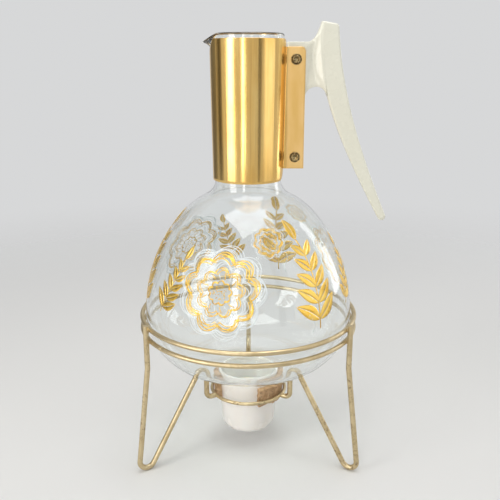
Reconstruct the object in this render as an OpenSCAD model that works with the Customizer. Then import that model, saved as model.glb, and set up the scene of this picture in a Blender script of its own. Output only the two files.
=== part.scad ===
// Glass coffee carafe with a metal neck collar and a moulded handle,
// standing in a three-legged wire warmer with a candle cup.
// Millimetres, +Z up, table at z = 0. Every piece is drawn about the common ring axis and
// then moved by on_axis(), so that the origin is the centre of the whole set's footprint.

/* [Wire stand] */
// Height of the upper ring's wire centre
stand_h = 107.3; // [98:0.5:120]
// Distance from the upper ring down to the lower ring
ring_drop = 8.5; // [6:0.5:12]
// Diameter of the wire of the two large rings
wire_d = 3.2; // [2.6:0.1:4]
// Diameter of the wire of the legs
leg_wire_d = 3.8; // [3:0.1:4.4]
// Diameter of the wire of the small candle ring
candle_wire_d = 2.6; // [2:0.1:3.4]
// Distance from the axis to the centre of each foot bend
foot_r = 83.6; // [80:0.2:92]
// Radius of the foot bend, at the wire centre
foot_bend_r = 5.6; // [4.4:0.2:7]
// Radius of the arch bend under the bowl, at the wire centre
bend_r = 4.6; // [3.8:0.2:6]
// Height at which the upright wire starts to spread to the foot
spread_z = 80; // [70:1:88]
// Radius of that spreading bend
spread_r = 12; // [8:0.5:20]
// Radius of the hook bend that turns in to the candle ring
hook_bend_r = 4; // [3:0.2:5]
// Distance from the candle ring's outside to the middle of the upright wire
hook_reach = 6.4; // [5:0.2:9]
// Height of the leg's cut end above the upper ring
leg_rise = 3.4; // [2:0.2:8]

/* [Bowl] */
// Largest outer radius of the bowl
bowl_r = 74.2; // [68:0.2:80]
// Radius of the flat base
base_r = 34; // [30:0.5:40]
// Radius of the long side arc
side_r = 112; // [100:1:130]
// Angle that the side arc turns through before the shoulder starts
side_turn = 40; // [34:1:46]
// Radius of the shoulder arc
shoulder_r = 55; // [45:1:65]
// Radius of the hollow curve between shoulder and neck
throat_r = 12; // [9:0.5:16]
// Thickness of the blown glass
wall = 1.8; // [1.4:0.1:2.6]
// Free space between the bowl and the upper ring
ring_play = 1.2; // [0.6:0.1:3]

/* [Neck] */
// Outer radius at the foot of the neck
neck_r = 22.7; // [20:0.1:25]
// Growth of the neck's outer radius from its foot to its rim
neck_flare = 1.3; // [0.2:0.1:1.6]
// Height of the glass rim above the collar
rim_rise = 3.5; // [2.5:0.5:8]
// Distance that the pouring lip reaches out from the neck
lip_reach = 6.9; // [5:0.1:9]
// Depth of the pouring lip below the rim
lip_h = 10.4; // [9:0.2:12]
// Radius of the rounded tip of the lip
lip_tip_r = 1.9; // [1.5:0.1:2.5]

/* [Collar] */
// Height of the collar band
collar_h = 92.5; // [80:0.5:110]
// Thickness of the collar's sheet metal
sheet_t = 0.9; // [0.6:0.1:1.4]
// Thickness of the liner between glass and collar
liner_t = 0.5; // [0.3:0.1:1]
// Distance that the flanges stand out from the collar
flange_w = 12.3; // [12:0.1:18]
// Distance from the collar's top edge down to the flanges
flange_drop = 5; // [3:0.5:8]
// Distance from the collar's bottom edge up to the flanges
flange_lift = 7.6; // [4:0.2:12]
// Radius of the flanges' upper outer corner
flange_corner_r = 2.5; // [1:0.5:4]
// Distance of each screw from the flange's end
screw_inset = 7.9; // [6:0.1:12]
// Height of the relief slots in the flange bends
relief_h = 7; // [4:0.5:10]
// Half width of the notch under the pouring lip
notch_half_w = 11.5; // [10:0.5:14]
// Depth of the notch under the pouring lip
notch_h = 9; // [8.4:0.2:12]

/* [Screws] */
// Radius of the screw shafts
screw_r = 1.7; // [1.2:0.1:2]
// Radius of the dished screw heads
head_r = 2.9; // [2.6:0.1:3.4]
// Height of the screw heads
head_h = 1.5; // [1.2:0.1:2.4]
// Radius of the round recess in the screw heads
recess_r = 1.2; // [0.8:0.1:1.6]
// Radius of the cup washers under the heads
cup_washer_r = 3.6; // [3.5:0.1:4.4]
// Thickness of the washers
washer_t = 0.7; // [0.5:0.1:1.2]
// Width of the nuts across their flats
nut_w = 6; // [5.6:0.1:7]
// Height of the nuts
nut_h = 2.6; // [2:0.1:4]

/* [Handle] */
// Thickness of the tongue between the flanges, and of the web
tongue_t = 7; // [5:0.5:9]
// Thickness of the thumb rest and the stem
stem_t = 9.4; // [8:0.2:12]
// Thickness of the tail at its tip
tail_t = 7; // [5:0.2:8]
// Height of the thumb rest above the collar
thumb_rise = 11.3; // [8:0.1:16]
// Distance from the flanges' edge out to the thumb rest
thumb_out = 9.8; // [7:0.1:12]
// Width of the thumb rest
thumb_w = 11.6; // [10:0.1:14]
// Fall of the thumb rest's top from its inner to its outer edge
thumb_slope = 2.1; // [0:0.1:3]
// Height of the handle from its tip to the top of the thumb rest
handle_h = 132.1; // [110:0.5:150]
// Distance that the tail spreads out between thumb rest and tip
tail_out = 43.9; // [36:0.5:54]
// Width of the tail just above its rounded tip
tip_w = 5.6; // [4.6:0.2:8]
// Radius of the bevelled edges
edge_r = 1.7; // [1:0.1:2.2]
// Radius of the finger arch between tongue and tail
finger_r = 7; // [6:0.2:8]
// Distance from the collar's top edge down to the centre of the finger arch
finger_drop = 37.5; // [34:0.5:44]
// Radius of the hollow between the web's top and the thumb rest
thumb_hollow_r = 8; // [5:0.2:9]

/* [Candle cup] */
// Distance between the cup's rim and the carafe's base
candle_gap = 9; // [5:0.5:14]
// Height of the cup
cup_h = 44; // [38:0.5:48]
// Outer radius of the cup's rim
cup_rim_r = 22.7; // [21:0.1:25]
// Outer radius where the cup's side meets its rounded bottom
cup_low_r = 19.9; // [17:0.1:20.9]
// Radius of the rounded bottom edge
cup_corner_r = 7; // [4:0.5:9]
// Thickness of the cup's glass
cup_wall = 2.4; // [1.8:0.1:3.2]
// Distance from the cup's rim down to the candle ring
ring_below_rim = 13.5; // [9:0.5:18]
// Thickness of the cork sleeve inside the candle ring
cork_t = 4.2; // [2.5:0.1:6]
// Height of the sleeve above the ring
cork_above = 10.5; // [6:0.5:12]
// Height of the sleeve below the ring
cork_below = 6; // [4:0.5:10]
// Widening of the sleeve's torn upper edge
cork_flare = 2.2; // [0.5:0.1:3]
// Angle of the split in the sleeve
cork_split = 62; // [30:1:90]

/* [Candle] */
// Radius of the candle
wax_r = 15.5; // [12:0.5:16]
// Height of the candle
wax_h = 21; // [12:0.5:24]
// Radius of the wick
wick_r = 0.8; // [0.5:0.1:1.2]
// Free length of the wick
wick_free = 6; // [3:0.5:7]
// Radius of the wick's metal foot
sustainer_r = 7; // [4:0.5:10]

/* [Hidden] */
$fn = 96;

// Colours
brass_wire = [0.78, 0.66, 0.42];
gold = [0.86, 0.66, 0.28];
dark_brass = [0.55, 0.46, 0.26];
clear_glass = [0.82, 0.88, 0.88, 0.35];
milk_glass = [0.95, 0.94, 0.91];
ivory = [0.90, 0.89, 0.83];
cork = [0.55, 0.36, 0.20];
wax = [0.96, 0.93, 0.84];

// Clearances
seat_gap = 0.3;        // between pieces that lift apart
fit_gap = 0.1;         // between pieces of one assembly
weld_lap = 0.3;        // depth that welded wires sink into each other
cut = 1;               // overrun of cutting shapes

// Wire stand
wire_r = wire_d / 2;
leg_wire_r = leg_wire_d / 2;
candle_wire_r = candle_wire_d / 2;
big_ring_r = bowl_r + ring_play + wire_r;
lower_ring_z = stand_h - ring_drop;

// Bowl: the widest point lies level with the upper ring
mid_z = stand_h;
heel_r = bowl_r - base_r;
base_z = mid_z - heel_r;
side_x = bowl_r - side_r;
shoulder_x = side_x + (side_r - shoulder_r) * cos(side_turn);
shoulder_z = mid_z + (side_r - shoulder_r) * sin(side_turn);
// The shoulder turns until the hollow throat brings the wall upright at the neck's radius
neck_turn = acos((neck_r + throat_r - shoulder_x) / (shoulder_r + throat_r));
side_end_z = mid_z + side_r * sin(side_turn);
shoulder_end_z = shoulder_z + shoulder_r * sin(neck_turn);
neck_z = shoulder_end_z + throat_r * sin(neck_turn);
seam_lap = 0.2;        // overlap of the stretches that make up the glass section
bore_r = neck_r - wall;
neck_top_r = neck_r + neck_flare;
rim_bead_r = (neck_top_r - bore_r) / 2;

// Pouring lip
lip_root_r = 14;       // rounding of the lip where it leaves the rim
lip_keel_r = 4;        // rounding of the keel at the lip's foot
lip_lap = 0.4;         // depth that keel and root lie inside the neck's surface
lip_root_h = 1;        // height of the root below the rim
lip_under_h = 9;       // height of the tip's underside below the rim
lip_fall = 34;         // angle of the lip's edge below the level
lip_tip_x = neck_top_r + lip_reach - lip_tip_r;

// Collar and neck
collar_z0 = neck_z + fit_gap;
collar_z1 = collar_z0 + collar_h;
rim_z = collar_z1 + rim_rise;
liner_gap = fit_gap + liner_t + fit_gap;
collar_r0 = neck_r + liner_gap + sheet_t;
collar_r1 = neck_top_r + liner_gap + sheet_t;
liner_z0 = collar_z0 + flange_lift;
liner_z1 = collar_z1 - notch_h - cut;
notch_foot_half_w = 2;
flange_x = collar_r1 + flange_w;
flange_z0 = collar_z0 + flange_lift;
flange_z1 = collar_z1 - flange_drop;
flange_y = tongue_t / 2 + sheet_t;
relief_w = 1.8;        // reach of the relief slots round the bend
screw_x = collar_r1 + flange_w / 2;
screw_z = [flange_z0 + screw_inset, flange_z1 - screw_inset];
hole_r = screw_r + fit_gap;
nut_r = nut_w / 2 / cos(30);
head_taper = 0.5;
dish_r = 2.4;          // ball that hollows the screw heads
dish_rise = 1.6;       // height of the ball's centre above the head
recess_deep = 1.2;
washer_bead_r = 0.35;

// Handle edges as curves in the x-z plane
thumb_x = flange_x + thumb_out;
thumb_z = collar_z1 + thumb_rise;
// Control points of the two curves, as parts of the curve's width and height
inner_pull = [[-0.066, 0.31], [0.30, 0.58]];
outer_pull = [[0.08, 0.352], [0.50, 0.668]];
function curve(start, span, pull) = [start,
    start + [pull[0][0] * span[0], pull[0][1] * span[1]],
    start + [pull[1][0] * span[0], pull[1][1] * span[1]],
    start + span];
inner_edge = curve([thumb_x, thumb_z], [tail_out, -handle_h], inner_pull);
tip_tilt = 36;         // angle of the tip's end line above the level
outer_start = [thumb_x + thumb_w, thumb_z - thumb_slope];
outer_end = inner_edge[3] + tip_w * [cos(tip_tilt), sin(tip_tilt)];
outer_edge = curve(outer_start, outer_end - outer_start, outer_pull);
stem_steps = 28;
cap_steps = 4;
top_bevel = 1.5;       // rounding of the thumb rest's top
web_t0 = 0.05;         // stretch of the stem's middle line that the web runs into
web_t1 = 0.37;
web_rise = 3.2;        // height of the web's top above the flanges
web_corner_r = 1.5;    // rounding of the tongue's upper corner
finger_x = flange_x + 0.7 + finger_r;
finger_z = collar_z1 - finger_drop;
web_top_z = flange_z1 + web_rise;
hollow_x = thumb_x - thumb_hollow_r - cut;
tongue_x0 = collar_r1 + seat_gap;
tongue_x1 = flange_x - 0.4;
tongue_z0 = flange_z0 + 0.5;

// Candle cup and candle
cup_z1 = base_z - candle_gap;
cup_z0 = cup_z1 - cup_h;
candle_ring_z = cup_z1 - ring_below_rim;
cup_side_z = cup_z0 + cup_corner_r;
function cup_r(z) = cup_low_r + (cup_rim_r - cup_low_r) * (z - cup_side_z) / (cup_z1 - cup_side_z);
cork_r = cup_r(candle_ring_z) + fit_gap + cork_t;
candle_ring_r = cork_r + seat_gap + candle_wire_r;
cork_taper = 0.9;      // narrowing of the sleeve below the ring
cork_start = -74;      // angle of the split's far side
// Tears in the sleeve's edges: [angle, angle that it spans, depth, at the upper edge]
tears = [[-62, 9, 1.6, true], [-24, 14, 2.4, true], [14, 8, 1.4, false], [45, 11, 1.8, true],
    [92, 12, 2, false], [122, 8, 1.2, true], [165, 10, 1.6, false], [192, 13, 2.2, true]];
wax_z = cup_z0 + cup_wall + seat_gap;
wax_edge_r = 1.2;
melt_r = 10.3;         // dish burnt into the wax round the wick
melt_deep = 1.4;
melt_ball_r = (melt_r * melt_r + melt_deep * melt_deep) / (2 * melt_deep);
sustainer_t = 0.5;
sustainer_neck_r = wick_r + 0.9;
sustainer_neck_h = 3;

// Leg wire in its own upright plane: x is the distance from the axis, y the height
drop_r = candle_ring_r + candle_wire_r + hook_reach;
// The bowl's heel rests on the three arches, seat_gap away
arch_x = drop_r + bend_r;
arch_reach = heel_r + bend_r + leg_wire_r + seat_gap;
arch_z = mid_z - sqrt(pow(arch_reach, 2) - pow(arch_x - base_r, 2));
weld_r = big_ring_r + wire_r + leg_wire_r - weld_lap;
hook_end_r = candle_ring_r + candle_wire_r - weld_lap;
wire_sides = 16;
bend_step = 15;        // angle between stations round a bend
// Each pin is [x, y, signed bend radius]: plus turns left, minus turns right, 0 is an end
leg_pins = [
    [weld_r, stand_h + leg_rise, 0],
    [weld_r + spread_r, spread_z, spread_r],
    [foot_r, leg_wire_r + foot_bend_r, -foot_bend_r],
    [arch_x, arch_z, bend_r],
    [drop_r - hook_bend_r, candle_ring_z + hook_bend_r, -hook_bend_r],
    [hook_end_r, candle_ring_z, 0]];

// Place of the ring axis, so that the origin is the middle of the whole footprint
tip_centre_x = (inner_edge[3][0] + outer_end[0]) / 2;
handle_x = tip_centre_x + tip_w / 2;
foot_out_r = foot_r + foot_bend_r + leg_wire_r;
foot_side_x = (foot_r + foot_bend_r) * cos(30) + leg_wire_r;
ring_out_r = big_ring_r + wire_r;
axis_x = (max(ring_out_r, foot_side_x) - handle_x) / 2;
axis_y = (ring_out_r - foot_out_r) / 2;

// ---------- helpers ----------

module on_axis() { translate([axis_x, axis_y, 0]) children(); }

module ring(r, z, wire) { translate([0, 0, z]) rotate_extrude() translate([r, 0]) circle(wire); }

function lerp(a, b, t) = a + (b - a) * t;
function bezier(p, t) = pow(1 - t, 3) * p[0] + 3 * t * pow(1 - t, 2) * p[1]
    + 3 * t * t * (1 - t) * p[2] + pow(t, 3) * p[3];
function turn_up(a) = a - 360 * floor(a / 360);

// Heading of the straight wire between two pins, and the point where it leaves or meets a pin
function heading(p, q) = atan2(q[1] - p[1], q[0] - p[0])
    - asin((q[2] - p[2]) / norm([q[0] - p[0], q[1] - p[1]]));
function touch(p, a) = [p[0] + p[2] * sin(a), p[1] - p[2] * cos(a)];

// Stations [point, heading] along a wire bent round pins that lie in one plane
function bend_stations(pin, before, after) = let(
        sweep = pin[2] > 0 ? turn_up(after - before) : -turn_up(before - after),
        steps = ceil(abs(sweep) / bend_step))
    [for (s = [0 : steps]) let(a = before + sweep * s / steps) [touch(pin, a), a]];
function wire_stations(pins) = let(
        last = len(pins) - 1,
        headings = [for (i = [0 : last - 1]) heading(pins[i], pins[i + 1])])
    concat([[touch(pins[0], headings[0]), headings[0]]],
        [for (i = [1 : last - 1]) for (one = bend_stations(pins[i], headings[i - 1], headings[i])) one],
        [[touch(pins[last], headings[last - 1]), headings[last - 1]]]);

// Closed skin over rings of points that all have the same count
module skin(rings) {
    side = len(rings[0]);
    last = len(rings) - 1;
    polyhedron([for (one = rings) for (p = one) p], concat(
        [[for (k = [0 : side - 1]) side - 1 - k]],
        [for (i = [0 : last - 1], k = [0 : side - 1]) let(n = (k + 1) % side)
            [i * side + k, i * side + n, (i + 1) * side + n]],
        [for (i = [0 : last - 1], k = [0 : side - 1]) let(n = (k + 1) % side)
            [i * side + k, (i + 1) * side + n, (i + 1) * side + k]],
        [[for (k = [0 : side - 1]) last * side + k]]));
}

module bent_wire(pins, r) {
    skin([for (one = wire_stations(pins)) [for (k = [0 : wire_sides - 1]) let(
            around = 360 * k / wire_sides,
            aside = r * cos(around))
        [one[0][0] - aside * sin(one[1]), one[0][1] + aside * cos(one[1]), -r * sin(around)]]]);
}

// ---------- wire stand ----------

module upper_ring() { color(brass_wire) on_axis() ring(big_ring_r, stand_h, wire_r); }

module lower_ring() { color(brass_wire) on_axis() ring(big_ring_r, lower_ring_z, wire_r); }

module candle_ring() { color(brass_wire) on_axis() ring(candle_ring_r, candle_ring_z, candle_wire_r); }

module leg(azimuth) {
    color(brass_wire) on_axis() rotate([90, 0, azimuth]) bent_wire(leg_pins, leg_wire_r);
}

module leg_rear() { leg(90); }

module leg_front_left() { leg(210); }

module leg_front_right() { leg(330); }

// ---------- carafe ----------

// Half section of the bowl and neck; inset moves every surface inwards by the same distance.
// Each stretch runs on into the next one by seam_lap, on the side where its arc lies inside it.
module carafe_section(inset, inner_r, neck_foot_r, top_r, top_z) {
    side_end = side_end_z - inset * sin(side_turn);
    shoulder_end = shoulder_end_z - inset * sin(neck_turn);
    intersection() {
        translate([base_r, mid_z]) circle(heel_r - inset);
        translate([base_r, base_z]) square([heel_r, heel_r + seam_lap]);
    }
    translate([inner_r, base_z + inset]) square([base_r - inner_r, heel_r - inset + seam_lap]);
    intersection() {
        translate([side_x, mid_z]) circle(side_r - inset, $fn = 360);
        translate([inner_r, mid_z]) square([bowl_r, side_end - mid_z]);
    }
    intersection() {
        translate([shoulder_x, shoulder_z]) circle(shoulder_r - inset, $fn = 180);
        translate([inner_r, side_end - seam_lap]) square([bowl_r, shoulder_end - side_end + 2 * seam_lap]);
    }
    difference() {
        translate([inner_r, shoulder_end]) square([throat_r + neck_r - inner_r, neck_z - shoulder_end]);
        translate([neck_r + throat_r, neck_z]) circle(throat_r + inset);
    }
    polygon([[inner_r, neck_z - seam_lap], [neck_foot_r, neck_z - seam_lap], [neck_foot_r, neck_z],
        [top_r, top_z], [inner_r, top_z]]);
}

// Pouring lip: a keel at its foot that opens out to the rim; inset makes its hollow
module lip(inset, above_rim) {
    hull() {
        translate([lip_keel_r - neck_r + lip_lap, 0, rim_z - lip_h + inset])
            cylinder(r = lip_keel_r - inset, h = fit_gap, $fn = 32);
        translate([lip_root_r - neck_top_r + lip_lap, 0, rim_z - lip_root_h])
            cylinder(r = lip_root_r - inset, h = lip_root_h + above_rim, $fn = 48);
        translate([-lip_tip_x, 0, rim_z - lip_under_h + inset])
            cylinder(r = lip_tip_r - 0.7 * inset, h = lip_under_h + above_rim, $fn = 24);
    }
}

module blown_glass() {
    difference() {
        union() {
            rotate_extrude() {
                carafe_section(0, 0, neck_r, neck_top_r, rim_z - rim_bead_r);
                translate([bore_r + rim_bead_r, rim_z - rim_bead_r]) circle(rim_bead_r, $fn = 32);
            }
            lip(0, 0);
        }
        rotate_extrude() carafe_section(wall, 0, bore_r, bore_r, rim_z + cut);
        lip(wall, lip_h);
        // The lip's edge falls from the rim to its tip
        translate([lip_keel_r / 2 - neck_top_r, -lip_root_r, rim_z]) rotate([0, -lip_fall, 0])
            translate([-3 * lip_reach, 0, 0]) cube([3 * lip_reach, 2 * lip_root_r, lip_h]);
    }
}

// The blown glass is one vessel; it is parted level at its widest line and at the neck's foot
module glass_part(z0, z1) {
    color(clear_glass) on_axis() intersection() {
        blown_glass();
        translate([0, 0, z0]) cylinder(r = bowl_r + cut, h = z1 - z0);
    }
}

module glass_bowl() { glass_part(base_z - cut, mid_z); }

module glass_shoulder() { glass_part(mid_z, neck_z); }

module glass_neck() { glass_part(neck_z, rim_z + cut); }

// Tapered tube between two offsets from the neck's outer surface
module neck_sleeve(offset0, offset1, z0, z1) {
    slope = neck_flare / (rim_z - rim_bead_r - neck_z);
    r0 = neck_r + slope * (z0 - neck_z);
    r1 = neck_r + slope * (z1 - neck_z);
    over = 0.5;
    difference() {
        translate([0, 0, z0]) cylinder(r1 = r0 + offset1, r2 = r1 + offset1, h = z1 - z0);
        translate([0, 0, z0 - over])
            cylinder(r1 = r0 + offset0 - slope * over, r2 = r1 + offset0 + slope * over,
                h = z1 - z0 + 2 * over);
    }
}

module neck_liner() {
    color(cork) on_axis() difference() {
        neck_sleeve(fit_gap, fit_gap + liner_t, liner_z0, liner_z1);
        translate([0, -flange_y, liner_z0 - cut])
            cube([2 * neck_r, 2 * flange_y, liner_z1 - liner_z0 + 2 * cut]);
    }
}

// Rounds a corner of the band: looks along x, corner at y = 0, z = 0, band towards +y and +z
module corner_cut(r) {
    rotate([90, 0, 90]) linear_extrude(collar_r1 + cut) difference() {
        translate([-cut, -cut]) square(r + cut);
        translate([r, r]) circle(r);
    }
}

module collar_band() {
    half_gap = tongue_t / 2;
    color(gold) on_axis() difference() {
        union() {
            difference() {
                neck_sleeve(liner_gap, liner_gap + sheet_t, collar_z0, collar_z1);
                for (side = [0, 1]) mirror([0, side, 0]) {
                    translate([0, half_gap, collar_z0]) corner_cut(flange_lift);
                    translate([0, half_gap, collar_z1]) mirror([0, 0, 1]) corner_cut(flange_drop);
                }
                // Notch under the pouring lip
                rotate([90, 0, -90]) linear_extrude(2 * collar_r1)
                    polygon([[-notch_half_w, collar_z1 + cut], [-notch_half_w, collar_z1],
                        [-notch_foot_half_w, collar_z1 - notch_h], [notch_foot_half_w, collar_z1 - notch_h],
                        [notch_half_w, collar_z1], [notch_half_w, collar_z1 + cut]]);
            }
            flange_plates();
        }
        neck_core();
        translate([0, -half_gap, collar_z0 - cut]) cube([2 * flange_x, tongue_t, collar_h + 2 * cut]);
        for (z = screw_z) {
            translate([screw_x, 0, z]) rotate([90, 0, 0])
                cylinder(r = hole_r, h = 4 * flange_y, center = true);
            translate([collar_r0 - relief_w, -flange_y - relief_w, z - relief_h / 2])
                cube([collar_r1 - collar_r0 + 1.5 * relief_w, 2 * (flange_y + relief_w), relief_h]);
        }
    }
}

// Space inside the band, where the flange plates may not reach
module neck_core() {
    translate([0, 0, collar_z0 - cut])
        cylinder(r1 = collar_r0 - sheet_t, r2 = collar_r1 - sheet_t, h = collar_h + 2 * cut);
}

module flange_plates() {
    for (side = [-1, 1]) translate([0, side * (flange_y - sheet_t / 2), 0]) rotate([90, 0, 0])
        linear_extrude(sheet_t, center = true) difference() {
            translate([collar_r0 - 3 * sheet_t, flange_z0])
                square([flange_x - collar_r0 + 3 * sheet_t, flange_z1 - flange_z0]);
            translate([flange_x - flange_corner_r, flange_z1 - flange_corner_r]) difference() {
                square(flange_corner_r + cut);
                circle(flange_corner_r);
            }
        }
}

// Section of the stem at t: its edges lie on the two curves, its corners are rounded by edge_r
function stem_ring(a, b, half_t, r) = let(
        mid = (a + b) / 2,
        u = (b - a) / norm(b - a),
        half_w = norm(b - a) / 2,
        e = min(r, half_w * 0.8, half_t * 0.8))
    [for (q = [0 : 3], s = [0 : 3]) let(
            angle = 90 * q + 30 * s,
            along = (q == 0 || q == 3 ? 1 : -1) * (half_w - e) + e * cos(angle),
            across = (q < 2 ? 1 : -1) * (half_t - e) + e * sin(angle),
            p = mid + u * along)
        [p[0], across, p[1]]];

function shrink(a, b, by) = let(u = (b - a) / norm(b - a)) [a + u * by, b - u * by];

stem_rings = concat(
    // rounded top of the thumb rest
    [for (angle = [0 : 30 : 90]) let(
            down = [0, top_bevel * (1 - cos(angle))],
            aside = top_bevel * (1 - sin(angle)),
            e = shrink(inner_edge[0], outer_edge[0], aside))
        stem_ring(e[0] - down, e[1] - down, stem_t / 2 - aside, edge_r)],
    [for (i = [1 : stem_steps]) let(t = i / stem_steps)
        stem_ring(bezier(inner_edge, t), bezier(outer_edge, t), lerp(stem_t, tail_t, t) / 2, edge_r)],
    // rounded tip
    [for (i = [1 : cap_steps]) let(
            angle = 84 * i / cap_steps,
            e = shrink(inner_edge[3], outer_end, tip_w / 2 * (1 - cos(angle))),
            ahead = tip_w / 2 * sin(angle) * [sin(tip_tilt), -cos(tip_tilt)])
        stem_ring(e[0] + ahead, e[1] + ahead, tail_t / 2 - edge_r * (1 - cos(angle)), edge_r)]);

module stem() { skin(stem_rings); }

function stem_middle(t) = (bezier(inner_edge, t) + bezier(outer_edge, t)) / 2;

// Web between tongue and stem, hollowed under the thumb rest and over the finger arch
module web_outline() {
    fill_z = web_top_z + thumb_hollow_r;
    difference() {
        polygon(concat([[tongue_x1 - cut, finger_z], [tongue_x1 - cut, fill_z]],
            [for (i = [0 : 10]) stem_middle(lerp(web_t0, web_t1, i / 10))]));
        translate([finger_x, finger_z]) circle(finger_r);
        translate([hollow_x, fill_z]) circle(thumb_hollow_r);
        translate([flange_x - flange_w, web_top_z]) square([hollow_x - flange_x + flange_w, handle_h]);
        translate([flange_x - flange_w, fill_z]) square([thumb_x - flange_x + flange_w, handle_h]);
    }
}

// Flat tongue between the flanges, with a rounded upper inner corner
module tongue_outline() {
    difference() {
        translate([tongue_x0, tongue_z0]) square([tongue_x1 - tongue_x0, web_top_z - tongue_z0]);
        translate([tongue_x0, web_top_z]) mirror([0, 1]) difference() {
            translate([-cut, -cut]) square(web_corner_r + cut);
            translate([web_corner_r, web_corner_r]) circle(web_corner_r);
        }
    }
}

module handle() {
    color(ivory) on_axis() difference() {
        union() {
            stem();
            rotate([90, 0, 0]) linear_extrude(tongue_t, center = true) {
                web_outline();
                tongue_outline();
            }
        }
        for (z = screw_z) translate([screw_x, 0, z]) rotate([90, 0, 0])
            cylinder(r = hole_r, h = 2 * tongue_t, center = true);
    }
}

// ---------- fasteners: drawn along +z, head at the front flange ----------

module on_screw(index) {
    on_axis() translate([screw_x, -flange_y, screw_z[index]]) rotate([90, 0, 0]) children();
}

module screw(index) {
    shaft = 2 * flange_y + washer_t + nut_h;
    color(dark_brass) on_screw(index) difference() {
        union() {
            translate([0, 0, -shaft]) cylinder(r = screw_r, h = shaft + washer_t);
            translate([0, 0, washer_t]) cylinder(r1 = head_r, r2 = head_r - head_taper, h = head_h);
        }
        // dished top with a round recess
        translate([0, 0, washer_t + head_h + dish_rise]) sphere(dish_r);
        translate([0, 0, washer_t + head_h - recess_deep]) cylinder(r = recess_r, h = recess_deep + cut);
    }
}

module cup_washer(index) {
    color(dark_brass) on_screw(index) difference() {
        union() {
            cylinder(r = cup_washer_r, h = washer_t);
            rotate_extrude() translate([cup_washer_r - washer_bead_r, washer_t])
                circle(washer_bead_r, $fn = 24);
        }
        translate([0, 0, -cut]) cylinder(r = hole_r, h = washer_t + 2 * cut);
    }
}

module flat_washer(index) {
    color(dark_brass) on_screw(index) translate([0, 0, -2 * flange_y - washer_t]) difference() {
        cylinder(r = cup_washer_r, h = washer_t);
        translate([0, 0, -cut]) cylinder(r = hole_r, h = washer_t + 2 * cut);
    }
}

module nut(index) {
    color(dark_brass) on_screw(index) translate([0, 0, -2 * flange_y - washer_t - nut_h]) difference() {
        cylinder(r = nut_r, h = nut_h, $fn = 6);
        translate([0, 0, -cut]) cylinder(r = screw_r + fit_gap / 2, h = nut_h + 2 * cut);
    }
}

module lower_screw() { screw(0); }

module upper_screw() { screw(1); }

module lower_cup_washer() { cup_washer(0); }

module upper_cup_washer() { cup_washer(1); }

module lower_nut() { nut(0); }

module upper_nut() { nut(1); }

module lower_flat_washer() { flat_washer(0); }

module upper_flat_washer() { flat_washer(1); }

// ---------- candle cup ----------

// Half section of the cup: tapered side, rounded bottom edge; inset makes its inside
module cup_section(inset, top_z) {
    corner_x = cup_low_r - cup_corner_r;
    taper = atan((cup_rim_r - cup_low_r) / (cup_z1 - cup_side_z));
    r = cup_corner_r - inset;
    rise = (top_z - cup_side_z) * tan(taper);
    intersection() {
        translate([corner_x, cup_side_z]) circle(r);
        translate([corner_x, cup_z0]) square([cup_corner_r, cup_corner_r]);
    }
    translate([0, cup_z0 + inset]) square([corner_x, cup_corner_r - inset]);
    polygon([[0, cup_side_z], [cup_low_r - inset, cup_side_z],
        [cup_low_r - inset + rise, top_z], [0, top_z]]);
}

module candle_cup() {
    bead_r = cup_wall / 2;
    color(milk_glass) on_axis() difference() {
        rotate_extrude() {
            cup_section(0, cup_z1 - bead_r);
            translate([cup_rim_r - bead_r, cup_z1 - bead_r]) circle(bead_r, $fn = 32);
        }
        rotate_extrude() cup_section(cup_wall, cup_z1 + cut);
    }
}

// Split cork sleeve: thin below the ring, flared above it, with torn edges
module cork_sleeve() {
    low_z = candle_ring_z - cork_below;
    high_z = candle_ring_z + cork_above;
    ring_clear = candle_wire_r + fit_gap;
    color(cork) on_axis() difference() {
        rotate(cork_start) rotate_extrude(angle = 360 - cork_split) polygon([
            [cup_r(low_z) + fit_gap, low_z],
            [cork_r - cork_taper, low_z],
            [cork_r, candle_ring_z - ring_clear],
            [cork_r, candle_ring_z + ring_clear],
            [cork_r + cork_flare, high_z],
            [cup_r(high_z) + fit_gap, high_z]]);
        for (tear = tears) rotate(tear[0]) rotate_extrude(angle = tear[1])
            translate([cork_r - 2 * cork_t, tear[3] ? high_z - tear[2] : low_z - cut])
                square([4 * cork_t, tear[2] + cut]);
    }
}

// ---------- candle ----------

module candle_wax() {
    color(wax) on_axis() difference() {
        rotate_extrude() intersection() {
            cup_section(cup_wall + seat_gap, cup_z1);
            translate([0, wax_z]) {
                square([wax_r - wax_edge_r, wax_h]);
                square([wax_r, wax_h - wax_edge_r]);
                translate([wax_r - wax_edge_r, wax_h - wax_edge_r]) circle(wax_edge_r, $fn = 32);
            }
        }
        translate([0, 0, wax_z]) {
            translate([0, 0, wax_h + melt_ball_r - melt_deep]) sphere(melt_ball_r);
            // room for the wick and its foot
            translate([0, 0, -cut]) cylinder(r = wick_r + fit_gap / 2, h = wax_h + 2 * cut);
            translate([0, 0, -cut]) cylinder(r = sustainer_r + fit_gap, h = sustainer_t + fit_gap + cut);
            cylinder(r = sustainer_neck_r + fit_gap, h = sustainer_neck_h + fit_gap);
        }
    }
}

module candle_wick() {
    color(ivory) on_axis() translate([0, 0, wax_z + sustainer_t])
        cylinder(r = wick_r, h = wax_h + wick_free - sustainer_t);
}

module wick_sustainer() {
    color("silver") on_axis() translate([0, 0, wax_z]) difference() {
        union() {
            cylinder(r = sustainer_r, h = sustainer_t);
            cylinder(r = sustainer_neck_r, h = sustainer_neck_h);
        }
        translate([0, 0, sustainer_t]) cylinder(r = wick_r + fit_gap / 2, h = sustainer_neck_h + cut);
    }
}

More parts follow.
